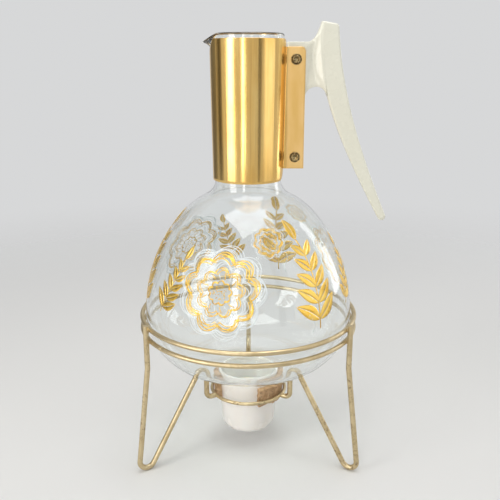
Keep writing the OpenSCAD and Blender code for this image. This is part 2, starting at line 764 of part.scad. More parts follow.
upper_ring();
lower_ring();
candle_ring();
leg_rear();
leg_front_left();
leg_front_right();
glass_bowl();
glass_shoulder();
glass_neck();
neck_liner();
collar_band();
handle();
upper_screw();
lower_screw();
upper_cup_washer();
lower_cup_washer();
upper_nut();
lower_nut();
upper_flat_washer();
lower_flat_washer();
candle_cup();
cork_sleeve();
candle_wax();
candle_wick();
wick_sustainer();
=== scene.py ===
# %% [markdown]
# # A glass coffee carafe on its candle warmer
#
# The set has four things that come apart: a wire stand, a glass carafe with a metal collar and a
# moulded handle, a white glass cup in a cork sleeve, and the candle inside it.
# A CAD model of the set has already been packed. This lesson dresses that model: it remodels
# each piece with Blender's mesh operators, gives it a finish made of nodes, and lights it.
#
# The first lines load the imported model.

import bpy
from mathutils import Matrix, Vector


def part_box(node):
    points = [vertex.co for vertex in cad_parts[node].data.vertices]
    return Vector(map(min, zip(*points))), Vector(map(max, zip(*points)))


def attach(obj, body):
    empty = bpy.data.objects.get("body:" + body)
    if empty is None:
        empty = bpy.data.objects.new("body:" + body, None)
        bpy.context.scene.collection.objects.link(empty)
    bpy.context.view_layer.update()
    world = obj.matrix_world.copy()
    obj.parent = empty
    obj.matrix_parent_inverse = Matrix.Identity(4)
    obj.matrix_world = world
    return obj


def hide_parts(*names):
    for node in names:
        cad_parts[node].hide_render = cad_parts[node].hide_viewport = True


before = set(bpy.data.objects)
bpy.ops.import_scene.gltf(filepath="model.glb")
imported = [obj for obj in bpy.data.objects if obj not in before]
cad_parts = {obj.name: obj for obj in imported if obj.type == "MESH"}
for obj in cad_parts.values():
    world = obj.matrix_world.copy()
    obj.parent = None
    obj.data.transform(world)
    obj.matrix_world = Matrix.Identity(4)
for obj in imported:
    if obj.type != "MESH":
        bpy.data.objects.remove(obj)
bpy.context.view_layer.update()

# %% [markdown]
# ## Units, and a place to measure from
#
# Blender works in metres, but a maker thinks of a carafe in millimetres, and measures from the
# middle of the rings. So every shape here is drawn in millimetres round that middle line, and is
# moved and shrunk into place once, when it is finished.

# %% Measure the rings
import math
import random

import bmesh
import bpy
from mathutils import Matrix, Vector, noise

MM = 0.001
WIRE_R = 1.6
LEG_WIRE_R = 1.9
CANDLE_WIRE_R = 1.3


def middle_of(node):
    """Middle and size of a CAD node's box, in metres."""
    low, high = (Vector(corner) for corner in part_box(node))
    return (low + high) / 2, high - low


def heights_of(node):
    """Lowest and highest point of a CAD node, in millimetres."""
    return tuple(corner[2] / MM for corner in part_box(node))


ring_middle = middle_of("upper_ring")[0]
AXIS = Vector((ring_middle.x, ring_middle.y, 0))
TO_MODEL = Matrix.Translation(AXIS) @ Matrix.Scale(MM, 4)


def ring_of(node, wire_r):
    """Radius and height of a ring's wire centre, in millimetres."""
    middle, size = middle_of(node)
    return size.x / 2 / MM - wire_r, middle.z / MM


UPPER_R, UPPER_Z = ring_of("upper_ring", WIRE_R)
LOWER_R, LOWER_Z = ring_of("lower_ring", WIRE_R)
CANDLE_R, CANDLE_Z = ring_of("candle_ring", CANDLE_WIRE_R)
for title, radius, height in (("upper", UPPER_R, UPPER_Z), ("lower", LOWER_R, LOWER_Z),
                              ("candle", CANDLE_R, CANDLE_Z)):
    print(f"{title} ring: radius {radius:.1f} mm at {height:.1f} mm")

# %% [markdown]
# ## Writing materials as sums
#
# A finish in Blender is a web of nodes. Wiring it by hand is slow to read, so a small class wraps
# one socket and lets Python's own signs add the Math nodes. `Nodes.node` makes any other node, and
# `Finish` adds the few steps that nearly every material of this set takes.

# %% Sockets in a sum
class Value:
    """One output of a node, ready for use in a sum."""

    def __init__(self, nodes, socket):
        self.nodes = nodes
        self.socket = socket

    def math(self, operation, first, second):
        return self.nodes.node("ShaderNodeMath", {"operation": operation}, {0: first, 1: second})

    def __add__(self, other):
        return self.math("ADD", self, other)

    def __radd__(self, other):
        return self.math("ADD", other, self)

    def __sub__(self, other):
        return self.math("SUBTRACT", self, other)

    def __rsub__(self, other):
        return self.math("SUBTRACT", other, self)

    def __mul__(self, other):
        return self.math("MULTIPLY", self, other)

    def __rmul__(self, other):
        return self.math("MULTIPLY", other, self)


class Nodes:
    """The nodes of a material or of the world."""

    def __init__(self, owner):
        owner.use_nodes = True
        self.tree = owner.node_tree

    def put(self, socket, value):
        """Links a value to a socket, or sets a plain number or colour there."""
        if isinstance(value, Value):
            self.tree.links.new(value.socket, socket)
        elif isinstance(value, tuple) and len(value) == 3 and socket.type == "RGBA":
            socket.default_value = (*value, 1)
        else:
            socket.default_value = value

    def node(self, kind, settings=None, sockets=None, output=0):
        """Makes a node: its settings first, then the values or links of its sockets."""
        made = self.tree.nodes.new(kind)
        for key, value in (settings or {}).items():
            setattr(made, key, value)
        for key, value in (sockets or {}).items():
            self.put(made.inputs[key], value)
        return Value(self, made.outputs[output])


print("ready to wire nodes")

# %% A small language for finishes
class Finish(Nodes):
    """A material in the making, with its shader's fixed settings given by name."""

    def __init__(self, name, **settings):
        self.material = bpy.data.materials.new(name)
        super().__init__(self.material)
        self.shader = self.tree.nodes["Principled BSDF"]
        for socket, value in settings.items():
            self.put(self.shader.inputs[socket.replace("_", " ")], value)
        self.place = self.node("ShaderNodeTexCoord", output="Object")

    def along(self, axis, of=None):
        """One coordinate of the place on the piece, or of another vector."""
        return self.node("ShaderNodeSeparateXYZ", None, {"Vector": of or self.place}, output=axis)

    def stretched(self, x, y, z):
        """The place on the piece, counted more finely along some directions."""
        return self.node("ShaderNodeMapping", None, {"Vector": self.place, "Scale": (x, y, z)})

    def specks(self, scale, detail=4, roughness=0.6, at=None):
        """Cloudy noise from 0 to 1; scale is in specks per metre."""
        return self.node("ShaderNodeTexNoise", None, {
            "Vector": at or self.place, "Scale": scale, "Detail": detail, "Roughness": roughness})

    def between(self, value, low, high, start=0.0, end=1.0, kind="LINEAR"):
        """Stretches value's range low to high over start to end, and stops there."""
        return self.node("ShaderNodeMapRange", {"clamp": True, "interpolation_type": kind}, {
            "Value": value, "From Min": low, "From Max": high, "To Min": start, "To Max": end})

    def blend(self, amount, first, second):
        """The first colour, running into the second as amount goes from 0 to 1."""
        return self.node("ShaderNodeMix", {"data_type": "RGBA"},
                         {0: amount, 6: first, 7: second}, output=2)

    def relief(self, height, depth, strength=1.0):
        """Small bumps; depth in millimetres."""
        return self.node("ShaderNodeBump", None, {
            "Height": height, "Distance": depth * MM, "Strength": strength})

    def shade(self, **sockets):
        for name, value in sockets.items():
            self.put(self.shader.inputs[name.replace("_", " ")], value)
        return self.material

    def clear_where(self, amount, tint=(1.0, 1.0, 1.0)):
        """Plain transparency takes the finish's place as amount goes from 0 to 1."""
        plain = self.node("ShaderNodeBsdfTransparent", None, {"Color": tint})
        mixed = self.node("ShaderNodeMixShader", None, {
            0: amount, 1: Value(self, self.shader.outputs[0]), 2: plain})
        self.put(self.tree.nodes["Material Output"].inputs["Surface"], mixed)
        return self.material


print("material tools ready")

# %% [markdown]
# ## Finishing a piece
#
# Each shape ends the same way: points that fell on top of each other are merged, the faces are
# turned outwards, the shape is moved into place, and the piece is told which body carries it.

# %% Finish a piece
def object_of(name, shape, material):
    """An object with the shape as its mesh; the shape is used up."""
    mesh = bpy.data.meshes.new(name)
    shape.to_mesh(mesh)
    shape.free()
    mesh.materials.append(material)
    made = bpy.data.objects.new(name, mesh)
    bpy.context.collection.objects.link(made)
    return made


def make_piece(name, shape, body, material, stands_for=(), sharp=40, modifiers=()):
    bmesh.ops.remove_doubles(shape, verts=shape.verts, dist=0.002)
    bmesh.ops.recalc_face_normals(shape, faces=shape.faces)
    bmesh.ops.transform(shape, matrix=TO_MODEL, verts=shape.verts)
    piece = object_of(name, shape, material)
    piece.data.shade_smooth()
    piece.data.set_sharp_from_angle(angle=math.radians(sharp))
    for kind, settings in modifiers:
        modifier = piece.modifiers.new(kind.title(), kind)
        for key, value in settings.items():
            setattr(modifier, key, value)
    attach(piece, body)
    if stands_for:
        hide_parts(*stands_for)
    print(f"{name}: {len(piece.data.polygons)} faces on {body}")


print("ready to finish pieces")

# %% [markdown]
# ## A lathe
#
# Most of the set is round. On a real lathe, or on a glass blower's pipe, a round thing is one line
# turned about an axis. `Profile` draws that line with two moves: straight on, or round a point.
# Both are Blender operators (extrude and spin), and so is the full turn at the end. The small
# functions after it are for the pieces that are not round.

# %% Draw a line and turn it
class Profile:
    """A line in the x-z plane: x is the distance from the axis, z the height."""

    def __init__(self, x, z):
        self.shape = bmesh.new()
        self.tip = self.shape.verts.new((x, 0, z))

    def line(self, x, z, steps=1):
        start, end = self.tip.co.copy(), Vector((x, 0, z))
        for step in range(1, steps + 1):
            self.tip = bmesh.ops.extrude_vert_indiv(self.shape, verts=[self.tip])["verts"][0]
            self.tip.co = start.lerp(end, step / steps)
        return self

    def arc(self, x, z, angle, steps=8):
        """Goes round the point (x, z); a plus angle turns from +x towards +z."""
        swung = bmesh.ops.spin(self.shape, geom=[self.tip], cent=(x, 0, z), axis=(0, -1, 0),
                               angle=math.radians(angle), steps=steps)
        self.tip = swung["geom_last"][0]
        return self

    def turn(self, segments=96):
        """Turns the line once about the axis."""
        bmesh.ops.spin(self.shape, geom=self.shape.verts[:] + self.shape.edges[:], cent=(0, 0, 0),
                       axis=(0, 0, 1), angle=2 * math.pi, steps=segments, use_merge=True)
        bmesh.ops.remove_doubles(self.shape, verts=self.shape.verts, dist=0.002)
        return self.shape


print("lathe ready")

# %% Helpers for other shapes
def points_of(made):
    """The points among the things that an operator made."""
    return [item for item in made if isinstance(item, bmesh.types.BMVert)]


def edges_of(made):
    """The edges among the things that an operator made."""
    return [item for item in made if isinstance(item, bmesh.types.BMEdge)]


def swing(shape, azimuth):
    """Turns a shape round the middle line."""
    bmesh.ops.rotate(shape, verts=shape.verts, cent=(0, 0, 0),
                     matrix=Matrix.Rotation(math.radians(azimuth), 3, "Z"))
    return shape


def double_grid(columns, rows):
    """A grid with two skins: the shape, and each skin's points with their u and v from 0 to 1."""
    shape = bmesh.new()
    bmesh.ops.create_grid(shape, x_segments=columns, y_segments=rows, size=0.5)
    first = shape.verts[:]
    grown = bmesh.ops.extrude_face_region(shape, geom=shape.faces[:], use_keep_orig=True)["geom"]
    skins = [[(vert, vert.co.x + 0.5, vert.co.y + 0.5) for vert in skin]
             for skin in (first, points_of(grown))]
    return shape, skins


def join(shapes):
    """Puts several shapes into the first one."""
    first = shapes[0]
    for other in shapes[1:]:
        mesh = bpy.data.meshes.new("joined")
        other.to_mesh(mesh)
        other.free()
        first.from_mesh(mesh)
        bpy.data.meshes.remove(mesh)
    return first


print("helpers ready")

# %% [markdown]
# ## The stand's finish: tarnished brass plate
#
# The wire was plated and has dulled: pale gold where hands polish it, and brown specks where the
# plate has worn. Noises of three sizes give the clouding, the specks, and the patches that they
# gather in. Up at the rings, where hands take hold, there are fewer.

# %% Tarnished brass
WORN_BELOW, HANDLED_ABOVE = 80, 96


def tarnished_brass():
    brass = Finish("tarnished_brass", Metallic=1.0, Specular_IOR_Level=0.5)
    cloud = brass.between(brass.specks(70, 5), 0.35, 0.7)
    speck = brass.between(brass.specks(430, 4, 0.7), 0.50, 0.68)
    patch = brass.between(brass.specks(38, 2), 0.38, 0.58)
    unhandled = brass.between(brass.along("Z"), WORN_BELOW * MM, HANDLED_ABOVE * MM, 1.0, 0.35)
    worn = speck * patch * unhandled
    base = brass.blend(cloud, (0.67, 0.55, 0.34), (0.50, 0.39, 0.22))
    colour = brass.blend(worn, base, (0.20, 0.135, 0.07))
    return brass.shade(
        Base_Color=colour, Metallic=1.0 - 0.5 * worn, Roughness=0.32 + 0.12 * cloud + 0.25 * worn,
        Normal=brass.relief(brass.specks(900, 3) - 0.6 * worn, 0.05, 0.35))


BRASS = tarnished_brass()
print("finish:", BRASS.name)

# %% [markdown]
# ## The rings
#
# A ring is a round wire bent into a circle, so its section is a circle, spun about the axis. Where
# the wire's ends were butted together a fine groove stays: three cuts close together, and the
# middle loop is drawn in.

# %% Rings
def ring_shape(ring_r, z, wire_r, sides=20, segments=160):
    shape = bmesh.new()
    upright = Matrix.Translation((ring_r, 0, z)) @ Matrix.Rotation(math.pi / 2, 4, "X")
    bmesh.ops.create_circle(shape, segments=sides, radius=wire_r, matrix=upright)
    bmesh.ops.spin(shape, geom=shape.verts[:] + shape.edges[:], cent=(0, 0, 0), axis=(0, 0, 1),
                   angle=2 * math.pi, steps=segments, use_merge=True)
    return shape


def mean_place(item):
    """The middle of an edge or a face."""
    return sum((vert.co for vert in item.verts), Vector()) / len(item.verts)


def mark_joint(shape, ring_r, z, azimuth, groove=0.45, depth=0.22, reach=7):
    """Cuts three loops close together and draws the middle one in: the seam where the ends meet."""
    angle = math.radians(azimuth)
    centre = Vector((ring_r * math.cos(angle), ring_r * math.sin(angle), z))
    along = Vector((-math.sin(angle), math.cos(angle), 0))
    for offset in (-groove, 0, groove):
        verts = [vert for vert in shape.verts if (vert.co - centre).length < reach]
        edges = [edge for edge in shape.edges if (mean_place(edge) - centre).length < reach]
        faces = [face for face in shape.faces if (mean_place(face) - centre).length < reach]
        bmesh.ops.bisect_plane(shape, geom=faces + edges + verts, plane_co=centre + along * offset,
                               plane_no=along, dist=0.0001)
    middle = [vert for vert in shape.verts
              if abs((vert.co - centre).dot(along)) < 0.001 and (vert.co - centre).length < reach]
    bmesh.ops.scale(shape, verts=middle, vec=Vector((1, 1, 1)) * (1 - depth / WIRE_R),
                    space=Matrix.Translation(-centre))
    return shape


for name, ring_r, z, wire_r, joint in (("upper_ring", UPPER_R, UPPER_Z, WIRE_R, 110),
                                       ("lower_ring", LOWER_R, LOWER_Z, WIRE_R, 222),
                                       ("candle_ring", CANDLE_R, CANDLE_Z, CANDLE_WIRE_R, 60)):
    ring = mark_joint(ring_shape(ring_r, z, wire_r), ring_r, z, joint)
    make_piece(name + "_wire", ring, "stand", BRASS, [name])

# %% [markdown]
# ## The legs
#
# Each leg is one wire. A maker pushes it straight on, then swings it round a pin, and so on. The
# same two moves work on a bmesh: extruding the end circle pushes the wire on, and spinning it
# about a pin bends it. The pins are listed as [distance from the axis, height, signed radius].

# %% Bend a wire round pins
def heading(pin, following):
    """Direction of the straight wire between two pins, as an angle in the x-z plane."""
    across, up = following[0] - pin[0], following[1] - pin[1]
    return math.atan2(up, across) - math.asin((following[2] - pin[2]) / math.hypot(across, up))


def touch(pin, angle):
    return Vector((pin[0] + pin[2] * math.sin(angle), 0, pin[1] - pin[2] * math.cos(angle)))


def bent_wire(pins, wire_r, sides=20, degrees_a_step=6):
    angles = [heading(a, b) for a, b in zip(pins, pins[1:])]
    shape = bmesh.new()
    facing = Matrix.Rotation(math.pi / 2 - angles[0], 4, "Y")
    circle = bmesh.ops.create_circle(shape, cap_ends=True, segments=sides, radius=wire_r,
                                     matrix=Matrix.Translation(touch(pins[0], angles[0])) @ facing)
    end = list({edge for vert in circle["verts"] for edge in vert.link_edges})
    for index, angle in enumerate(angles):
        pin, following = pins[index], pins[index + 1]
        grown = bmesh.ops.extrude_edge_only(shape, edges=end)["geom"]
        moving = points_of(grown)
        end = [edge for edge in edges_of(grown) if set(edge.verts) <= set(moving)]
        bmesh.ops.translate(shape, verts=moving, vec=touch(following, angle) - touch(pin, angle))
        if following[2] == 0:
            break
        sweep = angles[index + 1] - angle
        if sweep * following[2] < 0:
            sweep += math.copysign(2 * math.pi, following[2])
        swung = bmesh.ops.spin(shape, geom=end + moving, cent=(following[0], 0, following[1]),
                               axis=(0, -1, 0), angle=sweep,
                               steps=max(2, round(abs(math.degrees(sweep)) / degrees_a_step)))
        end = edges_of(swung["geom_last"])
    bmesh.ops.contextual_create(shape, geom=end)
    return shape


WELD_LAP = 0.3
ARCH_BEND_R = 4.6
HOOK_BEND_R = 4.0
FOOT_R, FOOT_BEND_R = 83.54, 5.6
SPREAD_Z, SPREAD_BEND_R = 80.0, 12.0
ARCH_Z = 60.67
ABOVE_RING, HOOK_REACH = 3.4, 6.4
weld_r = UPPER_R + WIRE_R + LEG_WIRE_R - WELD_LAP
drop_r = CANDLE_R + CANDLE_WIRE_R + HOOK_REACH
leg_pins = [
    [weld_r, UPPER_Z + ABOVE_RING, 0],
    [weld_r + SPREAD_BEND_R, SPREAD_Z, SPREAD_BEND_R],
    [FOOT_R, LEG_WIRE_R + FOOT_BEND_R, -FOOT_BEND_R],
    [drop_r + ARCH_BEND_R, ARCH_Z, ARCH_BEND_R],
    [drop_r - HOOK_BEND_R, CANDLE_Z + HOOK_BEND_R, -HOOK_BEND_R],
    [CANDLE_R + CANDLE_WIRE_R - WELD_LAP, CANDLE_Z, 0]]

LEGS = {"leg_rear": 90, "leg_front_left": 210, "leg_front_right": 330}
for name, azimuth in LEGS.items():
    leg = swing(bent_wire(leg_pins, LEG_WIRE_R), azimuth)
    make_piece(name + "_wire", leg, "stand", BRASS, [name])

# %% [markdown]
# ## Weld beads
#
# Where two wires cross they were spot welded, which leaves a small uneven bead of metal. A ball of
# triangles, pressed flat and pushed about by noise, makes one; nine of them are one piece.

# %% Weld beads
def bead(place, size, seed):
    shape = bmesh.new()
    bmesh.ops.create_icosphere(shape, subdivisions=3, radius=1)
    for vert in shape.verts:
        vert.co *= 1 + 0.16 * noise.noise(vert.co * 1.7 + Vector((seed * 7.3, 0, 0)))
    bmesh.ops.scale(shape, verts=shape.verts, vec=size)
    bmesh.ops.translate(shape, verts=shape.verts, vec=place)
    return shape


beads = []
for azimuth in LEGS.values():
    for place, size in (((UPPER_R + WIRE_R, 0, UPPER_Z), (0.9, 1.7, 1.9)),
                        ((LOWER_R + WIRE_R, 0, LOWER_Z), (0.9, 1.7, 1.9)),
                        ((CANDLE_R + CANDLE_WIRE_R, 0, CANDLE_Z), (1.3, 1.5, 1.2))):
        beads.append(swing(bead(place, size, len(beads)), azimuth))
make_piece("weld_beads", join(beads), "stand", BRASS)

# %% [markdown]
# ## The carafe's glass
#
# The bowl was blown into a mould and its neck drawn out, so the whole glass is one turned line: up
# the outside, over the rounded rim, and down the inside 1.8 mm away. The arcs that make the bowl
# share their centres inside and outside, which keeps the wall even. Clear glass shows its shape
# only by what it bends, so true wall thickness matters here more than anywhere. A renderer lets
# no lamp light through bending glass by itself, so for those rays alone the glass is made plain.

# %% Clear glass
def clear_glass():
    glass = Finish("clear_glass", Transmission_Weight=1.0, IOR=1.47, Roughness=0.0,
                   Base_Color=(0.975, 0.99, 0.985))
    glass.shade(Normal=glass.relief(glass.specks(28, 1, 0.4), 0.25, 0.25))
    towards_lamp = glass.node("ShaderNodeLightPath", output="Is Shadow Ray")
    return glass.clear_where(towards_lamp, (0.90, 0.92, 0.91))


GLASS = clear_glass()
print("finish:", GLASS.name)

# %% Turn the glass
BASE_R, BASE_Z = 34.0, 67.1
MID_Z = UPPER_Z
WIDEST_R, SIDE_R, SIDE_TURN = 74.2, 112.0, 40.0
SHOULDER_R, THROAT_R = 55.0, 12.0
NECK_R, NECK_TOP_R, BORE_R, WALL = 22.7, 24.0, 20.9, 1.8
RIM_Z = heights_of("glass_neck")[1]
SIDE_X = WIDEST_R - SIDE_R
shoulder_x = SIDE_X + (SIDE_R - SHOULDER_R) * math.cos(math.radians(SIDE_TURN))
shoulder_z = MID_Z + (SIDE_R - SHOULDER_R) * math.sin(math.radians(SIDE_TURN))
neck_turn = math.degrees(math.acos((NECK_R + THROAT_R - shoulder_x) / (SHOULDER_R + THROAT_R)))
neck_z = shoulder_z + (SHOULDER_R + THROAT_R) * math.sin(math.radians(neck_turn))
rim_bead = (NECK_TOP_R - BORE_R) / 2
LIP_FOOT_Z = RIM_Z - 10.4

glass_line = Profile(0, BASE_Z).line(BASE_R, BASE_Z, 6)
glass_line.arc(BASE_R, MID_Z, 90, 18).arc(SIDE_X, MID_Z, SIDE_TURN, 24)
glass_line.arc(shoulder_x, shoulder_z, neck_turn - SIDE_TURN, 12)
glass_line.arc(NECK_R + THROAT_R, neck_z, -neck_turn, 10)
glass_line.line(NECK_TOP_R, LIP_FOOT_Z, 12).line(NECK_TOP_R, RIM_Z - rim_bead, 8)
glass_line.arc(BORE_R + rim_bead, RIM_Z - rim_bead, 180, 10)
glass_line.line(BORE_R, LIP_FOOT_Z, 8).line(BORE_R, neck_z, 12)
glass_line.arc(NECK_R + THROAT_R, neck_z, neck_turn, 10)
glass_line.arc(shoulder_x, shoulder_z, SIDE_TURN - neck_turn, 12)
glass_line.arc(SIDE_X, MID_Z, -SIDE_TURN, 24).arc(BASE_R, MID_Z, -90, 18)
glass_line.line(0, BASE_Z + WALL, 6)
glass = glass_line.turn(128)
print(f"glass: neck at {neck_z:.1f} mm, {len(glass.verts)} points")

# %% [markdown]
# ## The pouring lip
#
# While the rim is still soft, the glass maker draws one side of it out with a rod. The same pull
# works on the points near that side: the higher and the nearer to the middle a point is, the
# further it moves out and down.

# %% Pull the lip
LIP_REACH, LIP_FALL, LIP_HALF_ANGLE = 8.0, 6.4, 36.0
LIP_PINCH = 0.45
SIDEWAYS_FADE, UPWARD_GAIN = 1.6, 1.15


def pull_lip(shape):
    for vert in shape.verts:
        rise = (vert.co.z - LIP_FOOT_Z) / (RIM_Z - LIP_FOOT_Z)
        aside = math.degrees(abs(math.atan2(vert.co.y, -vert.co.x)))
        if rise <= 0 or aside >= LIP_HALF_ANGLE:
            continue
        near = (0.5 + 0.5 * math.cos(math.pi * aside / LIP_HALF_ANGLE)) ** SIDEWAYS_FADE
        pull = min(rise, 1) ** UPWARD_GAIN * near
        outward = Vector((vert.co.x, vert.co.y, 0)).normalized()
        vert.co += outward * LIP_REACH * pull
        vert.co.z -= LIP_FALL * pull * min(rise, 1)
        vert.co.y *= 1 - LIP_PINCH * pull


pull_lip(glass)
make_piece("carafe_glass", glass, "carafe", GLASS,
           ["glass_bowl", "glass_shoulder", "glass_neck"], sharp=60)

# %% [markdown]
# ## Gold and white print
#
# Such carafes carry screen printed ornament in burnished gold and white enamel. Each motif is
# drawn flat, in millimetres along and up the bowl, then wrapped onto the glass: a distance along
# becomes an angle, and a distance up follows the bowl's side arc. The ink is a layer of its own,
# a tenth of a millimetre thick at most, so that it catches the light as raised enamel does.

# %% Wrap a flat drawing onto the bowl
PRINT_LIFT = 0.06


def on_bowl(u, v, azimuth):
    """u is along and v up the outside of the bowl, both in millimetres, from its widest line."""
    turn = min(v / SIDE_R, math.radians(SIDE_TURN))
    lean = turn + max(0, v - SIDE_R * math.radians(SIDE_TURN)) / SHOULDER_R
    out = SIDE_R * math.cos(turn) + SIDE_X + SHOULDER_R * (math.cos(lean) - math.cos(turn))
    up = MID_Z + SIDE_R * math.sin(turn) + SHOULDER_R * (math.sin(lean) - math.sin(turn))
    out, up = out + PRINT_LIFT * math.cos(lean), up + PRINT_LIFT * math.sin(lean)
    angle = math.radians(azimuth) + u / out
    return Vector((out * math.cos(angle), out * math.sin(angle), up))


def wrap(shape, azimuth, u0, v0, tilt=0, scale=1):
    """Tilts and scales a flat drawing, and lays it on the bowl with its origin at (u0, v0)."""
    cosine, sine = math.cos(math.radians(tilt)), math.sin(math.radians(tilt))
    for vert in shape.verts:
        u, v = vert.co.x * scale, vert.co.y * scale
        vert.co = on_bowl(u0 + u * cosine - v * sine, v0 + u * sine + v * cosine, azimuth)
    return shape


def stroke(points, width, closed=True):
    """A drawn line: its edges are extruded sideways to the line's width."""
    shape = bmesh.new()
    verts = [shape.verts.new((*point, 0)) for point in points]
    pairs = list(zip(verts, verts[1:] + verts[:1])) if closed else list(zip(verts, verts[1:]))
    edges = [shape.edges.new(pair) for pair in pairs]
    aside = []
    for index, vert in enumerate(verts):
        before = verts[index - 1] if closed or index else vert
        after = verts[(index + 1) % len(verts)] if closed or index < len(verts) - 1 else vert
        along = (after.co - before.co).normalized()
        aside.append(Vector((-along.y, along.x, 0)) * width / 2)
    grown = bmesh.ops.extrude_edge_only(shape, edges=edges)["geom"]
    for vert, twin, step in zip(verts, points_of(grown), aside):
        twin.co += step
        vert.co -= step
    return shape


def leaflet(length, width, gap=0.35):
    """A pointed leaf of two halves with a bare line along its middle."""
    halves = []
    for side in (-1, 1):
        half = bmesh.new()
        bmesh.ops.create_grid(half, x_segments=3, y_segments=14, size=0.5)
        for vert in half.verts:
            across, along = vert.co.x + 0.5, vert.co.y + 0.5
            belly = width / 2 * math.sin(math.pi * along ** 0.85) ** 0.9
            curl = 0.05 * length * math.sin(math.pi * along)
            vert.co = Vector((side * (gap / 2 + across * belly) + curl, along * length, 0))
        halves.append(half)
    return join(halves)


print("print tools ready")

# %% Gold and white inks
def gold_ink():
    ink = Finish("gold_print", Metallic=1.0)
    sheen = ink.between(ink.specks(130, 4), 0.3, 0.7)
    return ink.shade(Base_Color=ink.blend(sheen, (0.80, 0.47, 0.07), (0.93, 0.66, 0.17)),
                     Roughness=0.20 + 0.20 * sheen,
                     Normal=ink.relief(ink.specks(260, 3), 0.05, 0.3))


def white_ink():
    ink = Finish("white_print", Specular_IOR_Level=0.5)
    grain = ink.between(ink.specks(900, 3), 0.35, 0.65)
    return ink.shade(Base_Color=ink.blend(grain, (0.80, 0.86, 0.88), (0.93, 0.96, 0.97)),
                     Roughness=0.35 + 0.2 * grain, Normal=ink.relief(grain, 0.03, 0.4))


GOLD_INK, WHITE_INK = gold_ink(), white_ink()
LAYER = [("SOLIDIFY", {"thickness": 0.07 * MM, "offset": 1.0})]
print("finishes:", GOLD_INK.name, "and", WHITE_INK.name)

# %% [markdown]
# ## Rosettes and sprigs
#
# The ornament is a plain one: scalloped rosettes in gold and white lines, drawn several times over
# with a little drift, and sprigs of gold leaflets between them.

# %% Draw a rosette
def scallop(radius, lobes, depth, drift, points=180):
    """A ring of round lobes; drift turns it a little and makes the hand behind it less steady."""
    line = []
    for index in range(points):
        angle = 2 * math.pi * index / points
        reach = radius * (1 - depth + depth * abs(math.cos(lobes * angle / 2 + drift)) ** 0.8)
        wobble = 0.025 * math.sin(2 * angle + 9 * drift) + 0.015 * math.sin(5 * angle + 4 * drift)
        reach *= 1 + wobble
        line.append((reach * math.cos(angle), reach * math.sin(angle)))
    return line


def dots(count, radius, size, seed):
    """Small round dots strewn over a disc."""
    spread = random.Random(seed)
    made = []
    for _ in range(count):
        dot_r = size * spread.uniform(0.6, 1.2)
        angle, far = spread.uniform(0, 2 * math.pi), radius * math.sqrt(spread.uniform(0.02, 1))
        spot = Matrix.Translation((far * math.cos(angle), far * math.sin(angle), 0))
        shape = bmesh.new()
        bmesh.ops.create_circle(shape, cap_ends=True, segments=8, radius=dot_r, matrix=spot)
        made.append(shape)
    return made


MEDALLION_R = 25


def medallion(gold, white, azimuth, u, v, size, tilt):
    """A rosette with a radius of size, in rings of lobes, with spokes and dots between them."""
    place = (azimuth, u, v, tilt, size / MEDALLION_R)
    for drift in (0, 0.16, 0.34, -0.20, -0.42):
        gold.append(wrap(stroke(scallop(24.6 - 7 * abs(drift), 9, 0.19, drift), 0.55), *place))
        white.append(wrap(stroke(scallop(27.5 + 4 * drift, 9, 0.15, drift + 0.3), 0.42), *place))
    for drift in (0.05, -0.25, 0.45):
        white.append(wrap(stroke(scallop(19.0 - 3 * drift, 9, 0.24, drift), 0.42), *place))
        gold.append(wrap(stroke(scallop(15.6 - 4 * abs(drift), 9, 0.22, drift), 0.5), *place))
    for drift in (0, 0.18, 0.34):
        gold.append(wrap(stroke(scallop(7.2 + drift, 9, 0.22, drift), 0.45), *place))
    for index in range(18):
        angle = math.radians(20 * index + 10)
        spoke = [(far * math.cos(angle + 0.03 * far), far * math.sin(angle + 0.03 * far))
                 for far in (8.4, 9.8, 11.2, 12.4)]
        ink = white if index % 2 else gold
        ink.append(wrap(stroke(spoke, 0.5, closed=False), *place))
    gold.extend(wrap(dot, *place) for dot in dots(34, 4.2, 0.40, 3))
    gold.extend(wrap(dot, *place) for dot in dots(110, 15.0, 0.20, 7))
    white.extend(wrap(dot, *place) for dot in dots(150, 19.0, 0.20, 5))


print("rosette ready")

# %% Draw a sprig
SPRIG_LENGTH, SPRIG_BEND = 60, 9


def stem_point(up):
    return Vector((SPRIG_BEND * math.sin(0.030 * up), up, 0))


def sprig(gold, white, azimuth, u, v, size, tilt):
    """A bent stem as long as size, with five pairs of leaflets and one at its tip."""
    place = (azimuth, u, v, tilt, size / SPRIG_LENGTH)
    stem = [stem_point(up).xy for up in range(0, SPRIG_LENGTH + 1, 3)]
    gold.append(wrap(stroke(stem, 0.9, closed=False), *place))
    for index in range(5):
        for side in (-1, 1):
            leaf = leaflet(21 - 2.2 * index, 8.5 - 0.8 * index)
            turn = Matrix.Rotation(math.radians(-side * (52 - 3 * index) - 8), 4, "Z")
            foot = Matrix.Translation(stem_point(6 + 10.5 * index))
            bmesh.ops.transform(leaf, matrix=foot @ turn, verts=leaf.verts)
            gold.append(wrap(leaf, *place))
    tip = leaflet(16, 6.5)
    bmesh.ops.translate(tip, verts=tip.verts, vec=stem_point(SPRIG_LENGTH))
    gold.append(wrap(tip, *place))
    tendril = [(x - 7 + 2.2 * math.sin(0.35 * y), y) for x, y in stem[:-3]]
    white.append(wrap(stroke(tendril, 0.5, closed=False), *place))


print("sprig ready")

# %% Print the bowl
gold_marks, white_marks = [], []
for azimuth in (255, 15, 135):
    medallion(gold_marks, white_marks, azimuth, 0, 37, 26, 8)
    sprig(gold_marks, white_marks, azimuth + 50, 6, 9, 60, 14)
    sprig(gold_marks, white_marks, azimuth - 38, 0, 16, 40, -10)
    medallion(gold_marks, white_marks, azimuth + 27, 2, 70, 10, 30)
make_piece("gold_print", join(gold_marks), "carafe", GOLD_INK, modifiers=LAYER)
make_piece("white_print", join(white_marks), "carafe", WHITE_INK, modifiers=LAYER)

